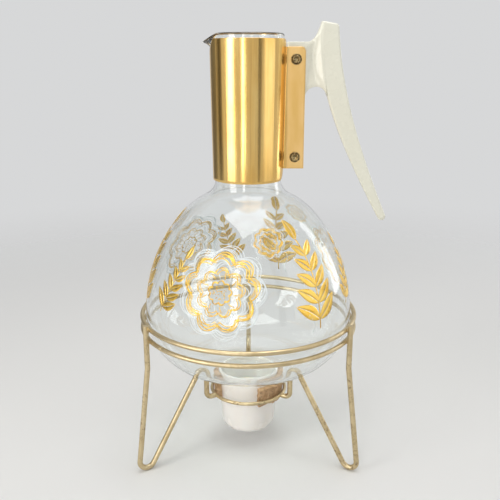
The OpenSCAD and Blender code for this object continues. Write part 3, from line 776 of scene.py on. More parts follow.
# %% [markdown]
# ## The collar
#
# The collar is a strip of gold anodised aluminium, wrapped round the neck and bent out into two
# flanges that clamp the handle. It is easiest to do what the maker did: cut a flat blank first,
# with its rounded corners and its notch, and then bend the blank. The round part was drawn, which
# left fine lines down its length; the flanges were rubbed to a satin.

# %% Anodised gold
DRAWN_TO, RUBBED_FROM = 25.2, 27.0


def anodised_gold():
    gold = Finish("anodised_gold", Metallic=1.0)
    brushed = gold.specks(1, 3, 0.6, gold.stretched(1500, 1500, 12))
    drawn = gold.specks(300, 2, 0.5, gold.stretched(1, 1, 0.02))
    clouded = gold.between(gold.specks(60, 3, 0.6, gold.stretched(1, 1, 0.3)), 0.35, 0.68)
    rubbed = gold.between(gold.along("X"), AXIS.x + DRAWN_TO * MM, AXIS.x + RUBBED_FROM * MM)
    drawn_colour = gold.blend(clouded, (0.82, 0.51, 0.15), (0.90, 0.63, 0.24))
    streak = gold.between(gold.specks(800, 3, 0.7, gold.stretched(1, 1, 0.012)), 0.42, 0.66)
    drawn_colour = gold.blend(0.30 * streak, drawn_colour, (0.50, 0.27, 0.07))
    rubbed_colour = gold.blend(clouded, (0.84, 0.53, 0.17), (0.96, 0.66, 0.32))
    return gold.shade(Base_Color=gold.blend(rubbed, drawn_colour, rubbed_colour),
                      Roughness=0.14 + 0.08 * brushed + rubbed * (0.14 + 0.10 * clouded),
                      Normal=gold.relief(drawn * (1 - rubbed) + 0.12 * brushed, 0.11, 1.0))


GOLD = anodised_gold()
print("finish:", GOLD.name)

# %% Measures of the collar
COLLAR_Z0, COLLAR_Z1 = heights_of("collar_band")
SHEET, TONGUE_T = 0.9, 7.0
BAND_R0, BAND_R1 = 24.3 - SHEET / 2, 25.6 - SHEET / 2
FLANGE_X = (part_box("collar_band")[1][0] - AXIS.x) / MM
FLANGE_LIFT, FLANGE_DROP, FLANGE_CORNER = 7.6, 5.0, 2.5
FLANGE_Z0, FLANGE_Z1 = COLLAR_Z0 + FLANGE_LIFT, COLLAR_Z1 - FLANGE_DROP
NOTCH_DEEP, NOTCH_HALF, NOTCH_FOOT = 9.0, 11.5, 2.0
FOLD_R, SLIT = 1.3, 1.2
SCREW_X = BAND_R1 + SHEET / 2 + 6.15
SCREW_INSET = 7.9
SCREW_Z = (FLANGE_Z0 + SCREW_INSET, FLANGE_Z1 - SCREW_INSET)
BAND_STEPS, FOLD_STEPS, FLANGE_STEPS = 72, 6, 12
print(f"collar: from {COLLAR_Z0:.1f} to {COLLAR_Z1:.1f} mm, flanges out to {FLANGE_X:.1f} mm")

# %% Cut and bend the blank
def clamp(value):
    return min(1, max(0, value))


def band_r(z):
    return BAND_R0 + (BAND_R1 - BAND_R0) * (z - COLLAR_Z0) / (COLLAR_Z1 - COLLAR_Z0)


def fold_start(radius):
    """The angle from the middle of the handle at which the band turns into its fold."""
    return math.asin((TONGUE_T / 2 + SHEET / 2 + FOLD_R) / (radius + FOLD_R))


def rounded(distance, radius):
    """How far a rounded corner keeps off the straight edge, at that distance from the side."""
    return radius - math.sqrt(radius ** 2 - (radius - min(distance, radius)) ** 2)


def blank_limits(strip, along):
    """Lowest and highest point of the blank on its band, its fold or its flange."""
    if strip == "fold":
        return FLANGE_Z0, FLANGE_Z1
    if strip == "flange":
        return FLANGE_Z0, FLANGE_Z1 - rounded((1 - along) * 12, FLANGE_CORNER)
    azimuth = math.pi - along * (math.pi - fold_start(BAND_R1))
    aside = BAND_R1 * math.sin(azimuth)
    if azimuth > math.pi / 2:
        slope = clamp((aside - NOTCH_FOOT) / (NOTCH_HALF - NOTCH_FOOT))
        return COLLAR_Z0, COLLAR_Z1 - NOTCH_DEEP * (1 - slope)
    to_slit = max(0, aside - TONGUE_T / 2 - SLIT)
    return COLLAR_Z0 + rounded(to_slit, FLANGE_LIFT), COLLAR_Z1 - rounded(to_slit, FLANGE_DROP)


def bend_blank(strip, along, z):
    """The place of a point of the blank once it is bent; y is plus on this half."""
    radius, plane = band_r(z), TONGUE_T / 2 + SHEET / 2
    fold = fold_start(radius)
    centre = Vector(((radius + FOLD_R) * math.cos(fold), plane + FOLD_R, z))
    if strip == "band":
        azimuth = math.pi - along * (math.pi - fold)
        return Vector((radius * math.cos(azimuth), radius * math.sin(azimuth), z))
    if strip == "fold":
        angle = math.pi + fold + along * (math.pi / 2 - fold)
        return centre + Vector((math.cos(angle), math.sin(angle), 0)) * FOLD_R
    return Vector((centre.x + along * (FLANGE_X - centre.x), plane, z))


def half_collar():
    shape = bmesh.new()
    columns = [("band", 0)]
    for strip, steps in (("band", BAND_STEPS), ("fold", FOLD_STEPS), ("flange", FLANGE_STEPS)):
        columns += [(strip, step / steps) for step in range(1, steps + 1)]
    bmesh.ops.create_grid(shape, x_segments=len(columns) - 1, y_segments=52, size=0.5)
    for vert in shape.verts:
        strip, along = columns[round((vert.co.x + 0.5) * (len(columns) - 1))]
        low, high = blank_limits(strip, along)
        vert.co = bend_blank(strip, along, low + (vert.co.y + 0.5) * (high - low))
    return shape


collar = half_collar()
bmesh.ops.mirror(collar, geom=collar.verts[:] + collar.edges[:] + collar.faces[:],
                 axis="Y", merge_dist=0.01)
make_piece("gold_collar", collar, "carafe", GOLD, ["collar_band"], modifiers=[
    ("SOLIDIFY", {"thickness": SHEET * MM, "offset": 0.0, "use_even_offset": True}),
    ("BEVEL", {"width": 0.2 * MM, "segments": 2, "limit_method": "ANGLE",
               "angle_limit": math.radians(50)})])

# %% [markdown]
# ## The handle
#
# The handle is one moulding in an ivory plastic: a long flat-sided stem, a thinner web that holds
# it, and a tongue between the flanges. The stem is a loft: a ring of edges is pulled down between
# two curves, one for its inner side and one for its outer, and set as a rounded oblong at each
# stop. The web and the tongue are grids, thickened to both sides and bevelled; the web is thinner
# in its middle, where the mould pinched it.

# %% Ivory plastic
def ivory_plastic():
    ivory = Finish("ivory_plastic", Specular_IOR_Level=0.5, Coat_Weight=0.5, Coat_Roughness=0.07)
    age = ivory.between(ivory.specks(22, 3), 0.35, 0.7)
    smudge = ivory.between(ivory.specks(120, 4), 0.4, 0.75)
    return ivory.shade(Base_Color=ivory.blend(age, (0.845, 0.835, 0.715), (0.815, 0.80, 0.675)),
                       Roughness=0.26 + 0.05 * smudge,
                       Normal=ivory.relief(ivory.specks(45, 1), 0.02, 0.3))


IVORY = ivory_plastic()
print("finish:", IVORY.name)

# %% Sections along a curve
THUMB_X, THUMB_Z = FLANGE_X + 9.8, COLLAR_Z1 + 11.3
THUMB_W, THUMB_SLOPE = 11.6, 2.1
TAIL_OUT, HANDLE_H = 43.9, 132.1
TIP_W, TIP_TILT = 5.6, math.radians(36)
STEM_T, TAIL_T = 9.4, 7.0
TOP_ROUND, EDGE_ROUND = 1.5, 1.6


def curve_points(start, span, *pulls):
    """The four points of a curve; each pull is a share of the span across and down."""
    first, span = Vector(start), Vector(span)
    return [first, *(first + Vector(pull) * span for pull in pulls), first + span]


def bezier(points, t):
    a, b, c, d = points
    return a * (1 - t) ** 3 + b * 3 * t * (1 - t) ** 2 + c * 3 * t * t * (1 - t) + d * t ** 3


inner_edge = curve_points((THUMB_X, THUMB_Z), (TAIL_OUT, -HANDLE_H), (-0.066, 0.31), (0.30, 0.58))
outer_start = Vector((THUMB_X + THUMB_W, THUMB_Z - THUMB_SLOPE))
outer_end = inner_edge[3] + TIP_W * Vector((math.cos(TIP_TILT), math.sin(TIP_TILT)))
outer_edge = curve_points(outer_start, outer_end - outer_start, (0.08, 0.352), (0.50, 0.668))


def place_section(verts, turn, first, last, half_t, corner):
    """Sets a ring of points as a rounded oblong from first to last in the x-z plane."""
    middle, along = (first + last) / 2, (last - first).normalized()
    half_w = (last - first).length / 2
    corner = min(corner, half_w * 0.9, half_t * 0.9)
    for vert in verts:
        angle = vert[turn]
        across = math.copysign(half_w - corner, math.cos(angle)) + corner * math.cos(angle)
        aside = math.copysign(half_t - corner, math.sin(angle)) + corner * math.sin(angle)
        spot = middle + along * across
        vert.co = Vector((spot.x, aside, spot.y))


def loft(stations, sides=32):
    """Pulls a ring of edges from one section to the next, and closes both ends."""
    shape = bmesh.new()
    turn = shape.verts.layers.float.new("turn")
    verts = bmesh.ops.create_circle(shape, segments=sides, radius=1)["verts"]
    for vert in verts:
        vert[turn] = math.atan2(vert.co.y, vert.co.x) + math.pi / sides
    first_ring = ring = shape.edges[:]
    for index, station in enumerate(stations):
        if index:
            grown = bmesh.ops.extrude_edge_only(shape, edges=ring)["geom"]
            verts = points_of(grown)
            ring = [edge for edge in edges_of(grown) if set(edge.verts) <= set(verts)]
        place_section(verts, turn, *station)
    for end in (first_ring, ring):
        bmesh.ops.contextual_create(shape, geom=end)
    shape.verts.layers.float.remove(turn)
    bmesh.ops.recalc_face_normals(shape, faces=shape.faces)
    return shape


print("loft ready")

# %% Shape the stem
STEM_STEPS, TIP_STEPS = 56, 8


def narrowed(first, last, by):
    along = (last - first).normalized() * by
    return first + along, last - along


def top_stations():
    """A quarter turn over the rounded edge of the thumb rest."""
    for angle in (0, 22.5, 45, 67.5, 90):
        aside = TOP_ROUND * (1 - math.sin(math.radians(angle)))
        drop = Vector((0, TOP_ROUND * (1 - math.cos(math.radians(angle)))))
        first, last = narrowed(inner_edge[0], outer_edge[0], aside)
        yield first - drop, last - drop, STEM_T / 2 - aside, EDGE_ROUND


def side_stations():
    """Down the two curves, from just under the rounded edge."""
    for step in range(1, STEM_STEPS + 1):
        t = step / STEM_STEPS
        if t * HANDLE_H > TOP_ROUND + 1:
            half_t = (STEM_T + (TAIL_T - STEM_T) * t) / 2
            yield bezier(inner_edge, t), bezier(outer_edge, t), half_t, EDGE_ROUND


def tip_stations():
    """Round the tail's end, stopping just short of nothing."""
    ahead = Vector((math.sin(TIP_TILT), -math.cos(TIP_TILT)))
    for step in range(1, TIP_STEPS + 1):
        angle = math.radians(84 * step / TIP_STEPS)
        first, last = narrowed(inner_edge[3], outer_end, TIP_W / 2 * (1 - math.cos(angle)))
        move = TIP_W / 2 * math.sin(angle) * ahead
        yield first + move, last + move, TAIL_T / 2 - EDGE_ROUND * (1 - math.cos(angle)), EDGE_ROUND


stem = loft([*top_stations(), *side_stations(), *tip_stations()])
flat_sides = [face for face in stem.faces if abs(face.normal.y) > 0.999]
bmesh.ops.inset_region(stem, faces=flat_sides, thickness=0.5, use_even_offset=True)
print(f"stem: {len(stem.faces)} faces, {len(flat_sides)} of them flat")

# %% Shape the web
FINGER_R = 7.0
FINGER_X, FINGER_Z = FLANGE_X + 0.7 + FINGER_R, COLLAR_Z1 - 37.5
FINGER_TOE = 2.2
WEB_TOP = FLANGE_Z1 + 3.2
HOLLOW_W, HOLLOW_H = 7.8, 11.5
LEVEL_SHARE = 0.12
WEB_PINCH, FLARE_W, RIM_ROUND = 2.0, 5.5, 0.7


def plate(columns, rows, place, half_thick):
    """A grid set by place(u, v) in the x-z plane, thickened to both sides by half_thick(u, v)."""
    shape, skins = double_grid(columns, rows)
    for skin, side in zip(skins, (-1, 1)):
        for vert, u, v in skin:
            spot = place(u, v)
            vert.co = Vector((spot.x, side * half_thick(u, v), spot.y))
    bmesh.ops.recalc_face_normals(shape, faces=shape.faces)
    return shape


def round_edges(shape, edges, size, segments):
    bmesh.ops.bevel(shape, geom=edges, offset=size, offset_type="OFFSET", affect="EDGES",
                    segments=segments, profile=0.5, material=-1, clamp_overlap=True)


def arch_point(u):
    """A point of the finger arch, from the flange (u = 0) round to the stem (u = 1)."""
    sweep = math.radians(180 - 172 * u)
    reach = FINGER_R + 0.6 if u < 0.5 else FINGER_R
    toe = FINGER_TOE * clamp(1 - u / 0.16) ** 2
    return Vector((FINGER_X + reach * math.cos(sweep) - 0.4 * toe,
                   FINGER_Z + FINGER_R * math.sin(sweep) - toe))


def hollow_point(u):
    """A point of the web's top: level over the flange, then sweeping up into the thumb rest."""
    level = 1.8 * clamp(u / LEVEL_SHARE)
    swept = clamp((u - LEVEL_SHARE) / (1 - LEVEL_SHARE))
    turn = math.pi / 2 * swept
    return Vector((FLANGE_X - 1 + level + HOLLOW_W * math.sin(turn) + 1.4 * swept ** 6,
                   WEB_TOP + HOLLOW_H * (1 - math.cos(turn))))


def web_place(u, v):
    return arch_point(u).lerp(hollow_point(u), v)


def stem_inner_x(z):
    """How far out the stem's inner edge is at this height."""
    t = clamp((THUMB_Z - z) / HANDLE_H)
    for _ in range(6):
        t = clamp(t + (bezier(inner_edge, t).y - z) / HANDLE_H)
    return bezier(inner_edge, t).x


def web_half(u, v):
    """Half thickness: pinched in the middle, full at the rims, and flared towards the stem."""
    spot = web_place(u, v)
    pinch_along = math.sin(math.pi * clamp((u - 0.1) / 0.9)) ** 0.7
    pinch = WEB_PINCH * pinch_along * math.sin(math.pi * v) ** 0.8
    near = max(0, 1 - max(0, stem_inner_x(spot.y) - spot.x) / FLARE_W)
    rim = RIM_ROUND * (clamp(1 - v / 0.10) ** 2 + clamp(1 - (1 - v) / 0.08) ** 2)
    return TONGUE_T / 2 - pinch * (1 - near) + near ** 2 - rim


web = plate(28, 36, web_place, web_half)
web_rims = [edge for edge in web.edges
            if len(edge.link_faces) == 2 and edge.calc_face_angle() > math.radians(45)
            and abs(edge.verts[0].co.y - edge.verts[1].co.y) < 1]
round_edges(web, web_rims, 0.5, 3)
print(f"web: {len(web.faces)} faces")

# %% Shape the tongue, and join the handle
TONGUE_LOW, TONGUE_HIGH = Vector((25.9, FLANGE_Z0 + 0.5)), Vector((FLANGE_X - 0.4, WEB_TOP))
tongue = plate(6, 20, lambda u, v: TONGUE_LOW + (TONGUE_HIGH - TONGUE_LOW) * Vector((u, v)),
               lambda u, v: TONGUE_T / 2)
tongue_rims = [edge for edge in tongue.edges if edge.calc_face_angle() > math.radians(50)]
round_edges(tongue, tongue_rims, 0.7, 3)
make_piece("ivory_handle", join([stem, web, tongue]), "carafe", IVORY, ["handle"])

# %% [markdown]
# ## Screws, washers and nuts
#
# Screws and washers are turned parts, and a nut is a hexagon pulled up and bevelled. They are drawn
# standing up, and laid over so that the heads face the front. Each head has a shallow dish in it.

# %% Aged brass
def aged_brass():
    brass = Finish("aged_brass", Metallic=1.0)
    grime = brass.between(brass.specks(900, 4), 0.42, 0.62)
    return brass.shade(Base_Color=brass.blend(grime, (0.46, 0.35, 0.17), (0.12, 0.085, 0.045)),
                       Roughness=0.26 + 0.3 * grime,
                       Normal=brass.relief(brass.specks(1500, 3), 0.03, 0.5))


AGED = aged_brass()
print("finish:", AGED.name)

# %% Turn the fasteners
FLANGE_FACE = TONGUE_T / 2 + SHEET
SHAFT_R, HEAD_R, HEAD_H, WASHER_R, WASHER_T = 1.7, 2.9, 1.5, 3.6, 0.7
NUT_W, NUT_H = 6.0, 2.6
HEAD_EDGE_R, TIP_EDGE, WASHER_EDGE, BORE_GAP = 0.75, 0.3, 0.15, 0.1
RECESS_R, RECESS_DEEP, DISH_UP = 1.6, 0.35, 1.2
BEHIND = -2 * FLANGE_FACE - WASHER_T


def laid_over(shape, z):
    move = Matrix.Translation((SCREW_X, -FLANGE_FACE, z)) @ Matrix.Rotation(math.pi / 2, 4, "X")
    bmesh.ops.transform(shape, matrix=move, verts=shape.verts)
    return shape


def screw_shape():
    end, top = BEHIND - NUT_H, WASHER_T + HEAD_H
    edge_r, edge_z, dish_z = HEAD_R - HEAD_EDGE_R, top - 0.5, top - RECESS_DEEP
    line = Profile(0, end).line(SHAFT_R - TIP_EDGE, end).line(SHAFT_R, end + TIP_EDGE)
    line.line(SHAFT_R, WASHER_T).line(HEAD_R, WASHER_T).line(HEAD_R - TIP_EDGE, edge_z)
    line.arc(edge_r, edge_z, 120, 8).line(RECESS_R, dish_z, 2)
    line.arc(0, dish_z + DISH_UP, -math.degrees(math.atan2(RECESS_R, DISH_UP)), 8)
    return line.turn(48)


def washer_shape(bottom, bead_r):
    bore_r, top = SHAFT_R + BORE_GAP, bottom + WASHER_T
    line = Profile(bore_r, bottom).line(WASHER_R - WASHER_EDGE, bottom)
    line.line(WASHER_R, bottom + WASHER_EDGE).line(WASHER_R, top)
    line.arc(WASHER_R - bead_r, top, 180, 6).line(bore_r, top).line(bore_r, bottom)
    return line.turn(40)


def nut_shape():
    shape = bmesh.new()
    corner_r = NUT_W / 2 / math.cos(math.pi / 6)
    bmesh.ops.create_circle(shape, cap_ends=True, segments=6, radius=corner_r,
                            matrix=Matrix.Translation((0, 0, BEHIND - NUT_H)))
    grown = bmesh.ops.extrude_face_region(shape, geom=shape.faces[:], use_keep_orig=True)["geom"]
    bmesh.ops.translate(shape, vec=(0, 0, NUT_H), verts=points_of(grown))
    bmesh.ops.recalc_face_normals(shape, faces=shape.faces)
    round_edges(shape, shape.edges[:], 0.25, 2)
    return shape


for level, z in zip(("lower", "upper"), SCREW_Z):
    for part, shape in (("screw", screw_shape()), ("cup_washer", washer_shape(0, 0.35)),
                        ("flat_washer", washer_shape(BEHIND, 0.1)),
                        ("nut", nut_shape())):
        make_piece(f"{level}_{part}_brass", laid_over(shape, z), "carafe", AGED,
                   [f"{level}_{part}"])

# %% [markdown]
# ## The candle cup
#
# A thick pressed cup of white opal glass. It is turned from one line too, with a rounded lip, a
# rounded bottom edge and a low hollow underneath. Opal glass lets a little light in before it
# scatters it, so the finish has some subsurface and a glossy coat.

# %% Opal glass
def opal_glass():
    opal = Finish("opal_glass", Subsurface_Weight=0.35, Subsurface_Radius=(0.006, 0.005, 0.004),
                  Coat_Weight=0.6, Coat_Roughness=0.06, Specular_IOR_Level=0.5)
    haze = opal.between(opal.specks(40, 3), 0.35, 0.7)
    return opal.shade(Base_Color=opal.blend(haze, (0.86, 0.83, 0.79), (0.81, 0.775, 0.73)),
                      Roughness=0.20 + 0.12 * haze,
                      Normal=opal.relief(opal.specks(60, 2), 0.08, 0.3))


OPAL = opal_glass()
print("finish:", OPAL.name)

# %% Turn the cup
CUP_Z0, CUP_Z1 = heights_of("candle_cup")
CUP_RIM_R, CUP_LOW_R, CUP_CORNER, CUP_WALL = 22.7, 19.9, 7.0, 2.4
HOLLOW_UP, FOOT_RING_W = 0.8, 2.4
bead_r, flat_r = CUP_WALL / 2, CUP_LOW_R - CUP_CORNER
side_z, lip_z = CUP_Z0 + CUP_CORNER, CUP_Z1 - bead_r
cup_line = Profile(0, CUP_Z0 + HOLLOW_UP).line(flat_r - FOOT_RING_W, CUP_Z0 + HOLLOW_UP, 3)
cup_line.line(flat_r - FOOT_RING_W + 1, CUP_Z0 + 0.1).line(flat_r, CUP_Z0)
cup_line.arc(flat_r, side_z, 90, 14).line(CUP_RIM_R, lip_z, 10)
cup_line.arc(CUP_RIM_R - bead_r, lip_z, 180, 10).line(CUP_LOW_R - CUP_WALL, side_z, 10)
cup_line.arc(flat_r, side_z, -90, 10).line(0, CUP_Z0 + CUP_WALL, 3)
make_piece("opal_cup", cup_line.turn(96), "candle_cup", OPAL, ["candle_cup"], sharp=60)

# %% [markdown]
# ## The cork sleeve
#
# A strip of cork keeps the cup from rattling in its ring. It is old and torn: its edges are ragged,
# it is pinched where the ring holds it and curls out above, and it no longer meets itself. A flat
# grid is thickened, then every point is set round the cup with noise pulling at the edges.

# %% Cork
def cork_bark():
    cork = Finish("cork_bark", Specular_IOR_Level=0.2)
    grain = cork.specks(260, 6, 0.65, cork.stretched(1, 1, 0.6))
    pits = cork.between(cork.specks(700, 3, 0.6), 0.58, 0.68)
    warm = cork.between(cork.specks(60, 3), 0.35, 0.68)
    base = cork.blend(warm, (0.34, 0.20, 0.10), (0.56, 0.36, 0.20))
    tone = cork.blend(cork.between(grain, 0.42, 0.68), base, (0.66, 0.46, 0.28))
    return cork.shade(Base_Color=cork.blend(pits, tone, (0.10, 0.055, 0.025)),
                      Roughness=0.72 + 0.2 * grain,
                      Normal=cork.relief(grain - 0.9 * pits, 0.5, 0.8))


CORK = cork_bark()
print("finish:", CORK.name)

# %% Tear a strip and wrap it round the cup
CORK_LOW, CORK_HIGH = heights_of("cork_sleeve")
CORK_R = CANDLE_R - CANDLE_WIRE_R - 0.3
CORK_FIRST, CORK_SPAN = -74.0, 281.0
CORK_FLARE = 2.2
HELD_HALF, END_SHARE = 1.6, 0.03
LOW_TEAR, HIGH_TEAR, END_TEAR = 3.2, 3.6, 2.4


def cup_outside(z):
    return CUP_LOW_R + (CUP_RIM_R - CUP_LOW_R) * (z - side_z) / (CUP_Z1 - side_z)


def ripple(x, y, z=0):
    return noise.noise(Vector((x, y, z)))


def tear(u, seed):
    """How deep the edge is torn at this place along the strip, from 0 to 1."""
    coarse, fine = ripple(u * 9, seed), ripple(u * 42, seed + 5)
    return clamp(0.35 + 0.75 * coarse + 0.35 * fine)


def cork_azimuth(u, z):
    """Where along the strip a point is, in degrees; both ends are ragged."""
    ragged = END_TEAR * ripple(z * 0.45, 3 if u < 0.5 else 8)
    at_end = clamp(1 - u / END_SHARE) - clamp(1 - (1 - u) / END_SHARE)
    return CORK_FIRST + 1.5 + (CORK_SPAN - 3) * u + ragged * at_end


def cork_outside(u, z):
    """The outer radius: held by the ring, curling out above it and shrinking in below."""
    ring_top, ring_bottom = CANDLE_Z + HELD_HALF, CANDLE_Z - HELD_HALF
    above = max(0, z - ring_top) / (CORK_HIGH - ring_top)
    below = max(0, ring_bottom - z) / (ring_bottom - CORK_LOW)
    radius = CORK_R + CORK_FLARE * above * (0.65 + 0.3 * ripple(u * 14, 4))
    radius -= below * (1.1 + 0.7 * ripple(u * 17, 6))
    return radius - 0.22 * (1 + ripple(u * 60, z * 0.6, 2))


def cork_shape():
    shape, (inner, outer) = double_grid(180, 14)
    for skin in (inner, outer):
        for vert, u, v in skin:
            low, high = CORK_LOW + LOW_TEAR * tear(u, 1), CORK_HIGH - HIGH_TEAR * tear(u, 2)
            z = low + (high - low) * v
            azimuth = math.radians(cork_azimuth(u, z))
            radius = cork_outside(u, z) if skin is outer else cup_outside(z) + 0.12
            vert.co = Vector((radius * math.cos(azimuth), radius * math.sin(azimuth), z))
    return shape


make_piece("cork_wrap", cork_shape(), "candle_cup", CORK, ["cork_sleeve"], sharp=70)

# %% [markdown]
# ## The candle
#
# A short candle stands in the cup on a small tin foot. The wax is turned with the dish that a
# flame melts. The wick is three threads laid round each other: one thread's circle is spun with a
# rise, so that it climbs as it turns.

# %% Wax, wick and tin
WHITE_BELOW, BURNT_ABOVE = 39.5, 41.5


def candle_wax():
    wax = Finish("candle_wax", Subsurface_Weight=0.6, Subsurface_Radius=(0.01, 0.007, 0.004),
                 Specular_IOR_Level=0.4)
    mottled = wax.between(wax.specks(150, 4), 0.35, 0.7)
    return wax.shade(Base_Color=wax.blend(mottled, (0.90, 0.86, 0.74), (0.84, 0.79, 0.65)),
                     Roughness=0.38 + 0.15 * mottled, Normal=wax.relief(mottled, 0.1, 0.3))


def cotton():
    thread = Finish("waxed_cotton", Specular_IOR_Level=0.2)
    burnt = thread.between(thread.along("Z"), WHITE_BELOW * MM, BURNT_ABOVE * MM)
    fuzz = thread.specks(3000, 3)
    pale = thread.blend(fuzz, (0.74, 0.70, 0.60), (0.60, 0.55, 0.44))
    return thread.shade(Base_Color=thread.blend(burnt, pale, (0.02, 0.018, 0.016)),
                        Roughness=0.8 - 0.1 * fuzz, Normal=thread.relief(fuzz, 0.08, 0.6))


def tin_plate():
    tin = Finish("tin_plate", Metallic=1.0)
    dull = tin.specks(400, 4)
    return tin.shade(Base_Color=tin.blend(dull, (0.72, 0.72, 0.71), (0.52, 0.52, 0.51)),
                     Roughness=0.3 + 0.2 * dull, Normal=tin.relief(dull, 0.03, 0.4))


WAX, COTTON, TIN = candle_wax(), cotton(), tin_plate()
print("finishes:", ", ".join(finish.name for finish in (WAX, COTTON, TIN)))

# %% Turn the wax
WAX_Z0, WAX_Z1 = heights_of("candle_wax")
WAX_R, WAX_FOOT, MELT_R, WICK_HOLE_R = 15.5, 12.9, 10.3, 1.0
LOW_ROUND, HIGH_ROUND = 4.3, 1.2
wax_turn = math.degrees(math.asin((WAX_R - WAX_FOOT) / LOW_ROUND))
wax_line = Profile(WICK_HOLE_R, WAX_Z0).line(WAX_FOOT, WAX_Z0, 4)
wax_line.arc(WAX_FOOT, WAX_Z0 + LOW_ROUND, wax_turn, 5).line(WAX_R, WAX_Z1 - HIGH_ROUND, 5)
wax_line.arc(WAX_R - HIGH_ROUND, WAX_Z1 - HIGH_ROUND, 90, 6).line(MELT_R + 0.6, WAX_Z1, 2)
wax_line.line(MELT_R - 0.8, WAX_Z1 - 0.35).line(6, WAX_Z1 - 1.1, 3)
wax_line.line(WICK_HOLE_R, WAX_Z1 - 1.3, 3).line(WICK_HOLE_R, WAX_Z0, 6)
make_piece("wax_body", wax_line.turn(80), "candle", WAX, ["candle_wax"], sharp=60)

# %% Twist the wick and turn its tin foot
WICK_Z0, WICK_Z1 = heights_of("candle_wick")
THREAD_R, THREAD_OUT, WICK_TURNS, WICK_STEPS = 0.36, 0.40, 5, 120


def thread_shape(azimuth):
    shape = bmesh.new()
    lean = Matrix.Rotation(math.pi / 2.6, 4, "X")
    start = Matrix.Translation((THREAD_OUT, 0, WICK_Z0 + THREAD_OUT))
    bmesh.ops.create_circle(shape, cap_ends=True, segments=8, radius=THREAD_R, matrix=start @ lean)
    swing(shape, azimuth)
    rise = (WICK_Z1 - WICK_Z0 - 2 * THREAD_OUT) / WICK_STEPS
    swung = bmesh.ops.spin(shape, geom=shape.verts[:] + shape.edges[:], cent=(0, 0, 0),
                           axis=(0, 0, 1), angle=2 * math.pi * WICK_TURNS, steps=WICK_STEPS,
                           dvec=(0, 0, rise))
    bmesh.ops.contextual_create(shape, geom=edges_of(swung["geom_last"]))
    return shape


make_piece("twisted_wick", join([thread_shape(120 * index) for index in range(3)]),
           "candle", COTTON, ["candle_wick"], sharp=70)

TIN_R, TIN_T, TUBE_R, TUBE_BORE, TUBE_H = 7.0, 0.5, 1.65, 0.9, 3.0
tin_z, tube_z = WAX_Z0 + TIN_T, WAX_Z0 + TUBE_H
foot_line = Profile(0, WAX_Z0).line(TIN_R - 0.2, WAX_Z0, 3)
foot_line.line(TIN_R, WAX_Z0 + TIN_T / 2).line(TIN_R - 0.2, tin_z)
foot_line.line(2.2, tin_z, 2).arc(2.2, tin_z + 0.5, -90, 4).line(TUBE_R, tube_z)
foot_line.line(TUBE_BORE, tube_z).line(TUBE_BORE, tin_z + 0.1).line(0, tin_z + 0.1)
make_piece("tin_foot", foot_line.turn(48), "candle", TIN, ["wick_sustainer"])

# %% [markdown]
# ## The liner
#
# The strip between glass and collar is the one CAD solid that keeps its own shape, because only
# its edges can be seen. It gets a felted finish through its material slot.

# %% Felt the liner
def felted():
    felt = Finish("felted_strip", Specular_IOR_Level=0.15)
    fuzz = felt.specks(1400, 5, 0.7)
    return felt.shade(Base_Color=felt.blend(fuzz, (0.40, 0.30, 0.19), (0.60, 0.48, 0.33)),
                      Roughness=0.85 + 0.1 * fuzz, Normal=felt.relief(fuzz, 0.2, 0.7))


FELT = felted()
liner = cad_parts["neck_liner"]
if not liner.material_slots:
    liner.data.materials.append(FELT)
for holder in liner.material_slots:
    holder.material = FELT
print("liner finish:", FELT.name)

# %% [markdown]
# ## Floor and background
#
# The studio is plain: a pale floor that fades into a pale background, so that there is no hard
# horizon. The camera, mirrors and glass see that background. All other light that the world gives
# is weaker, so that the lamps shape the set.

# %% Floor
FLOOR_R, BELOW_THE_FEET = 1.6, 0.0002
FADE_START, FADE_END = 0.16, 0.95


def pale_floor():
    pale = Finish("pale_floor", Base_Color=(0.80, 0.80, 0.79), Roughness=0.6, Specular_IOR_Level=0.2)
    distance = pale.node("ShaderNodeVectorMath", {"operation": "LENGTH"}, {0: pale.place},
                         output="Value")
    return pale.clear_where(pale.between(distance, FADE_START, FADE_END, kind="SMOOTHSTEP"))


ground = bmesh.new()
bmesh.ops.create_circle(ground, cap_ends=True, segments=96, radius=FLOOR_R)
bmesh.ops.translate(ground, verts=ground.verts, vec=(0, 0, -BELOW_THE_FEET))
floor = object_of("floor", ground, pale_floor())
print(f"floor: {FLOOR_R} m in radius")

# %% Background
BACKGROUND = (0.68, 0.685, 0.69)
AMBIENT, AMBIENT_STRENGTH = (1, 0.99, 0.97), 0.30


def studio_world():
    world = bpy.data.worlds.new("studio")
    around = Nodes(world)
    seen = around.node("ShaderNodeLightPath", output="Is Camera Ray")
    for ray in ("Is Glossy Ray", "Is Transmission Ray"):
        seen = seen.math("MAXIMUM", seen, around.node("ShaderNodeLightPath", output=ray))
    backdrop = around.tree.nodes["Background"]
    around.put(backdrop.inputs["Color"], BACKGROUND)
    soft = around.node("ShaderNodeBackground", None, {
        "Color": AMBIENT, "Strength": AMBIENT_STRENGTH})
    mixed = around.node("ShaderNodeMixShader", None, {
        0: seen, 1: soft, 2: Value(around, backdrop.outputs[0])})
    around.put(around.tree.nodes["World Output"].inputs["Surface"], mixed)
    return world


scene = bpy.context.scene
scene.world = studio_world()
scene.view_settings.view_transform = "Standard"
print("world:", scene.world.name)

# %% [markdown]
# ## Lamps
#
# Tall upright lamps stand round the set, because glass and the gold collar mirror them as long
# soft lines. A large one overhead lights everything that faces up.

# %% Lamps
LAMP_DISTANCE = 1.0
DAYLIGHT, WHITE = (1, 0.99, 0.97), (1, 1, 1)
OVERHEAD, LIT_POINT = Vector((0.05, -0.10, 1.30)), Vector((0, 0, 0.16))


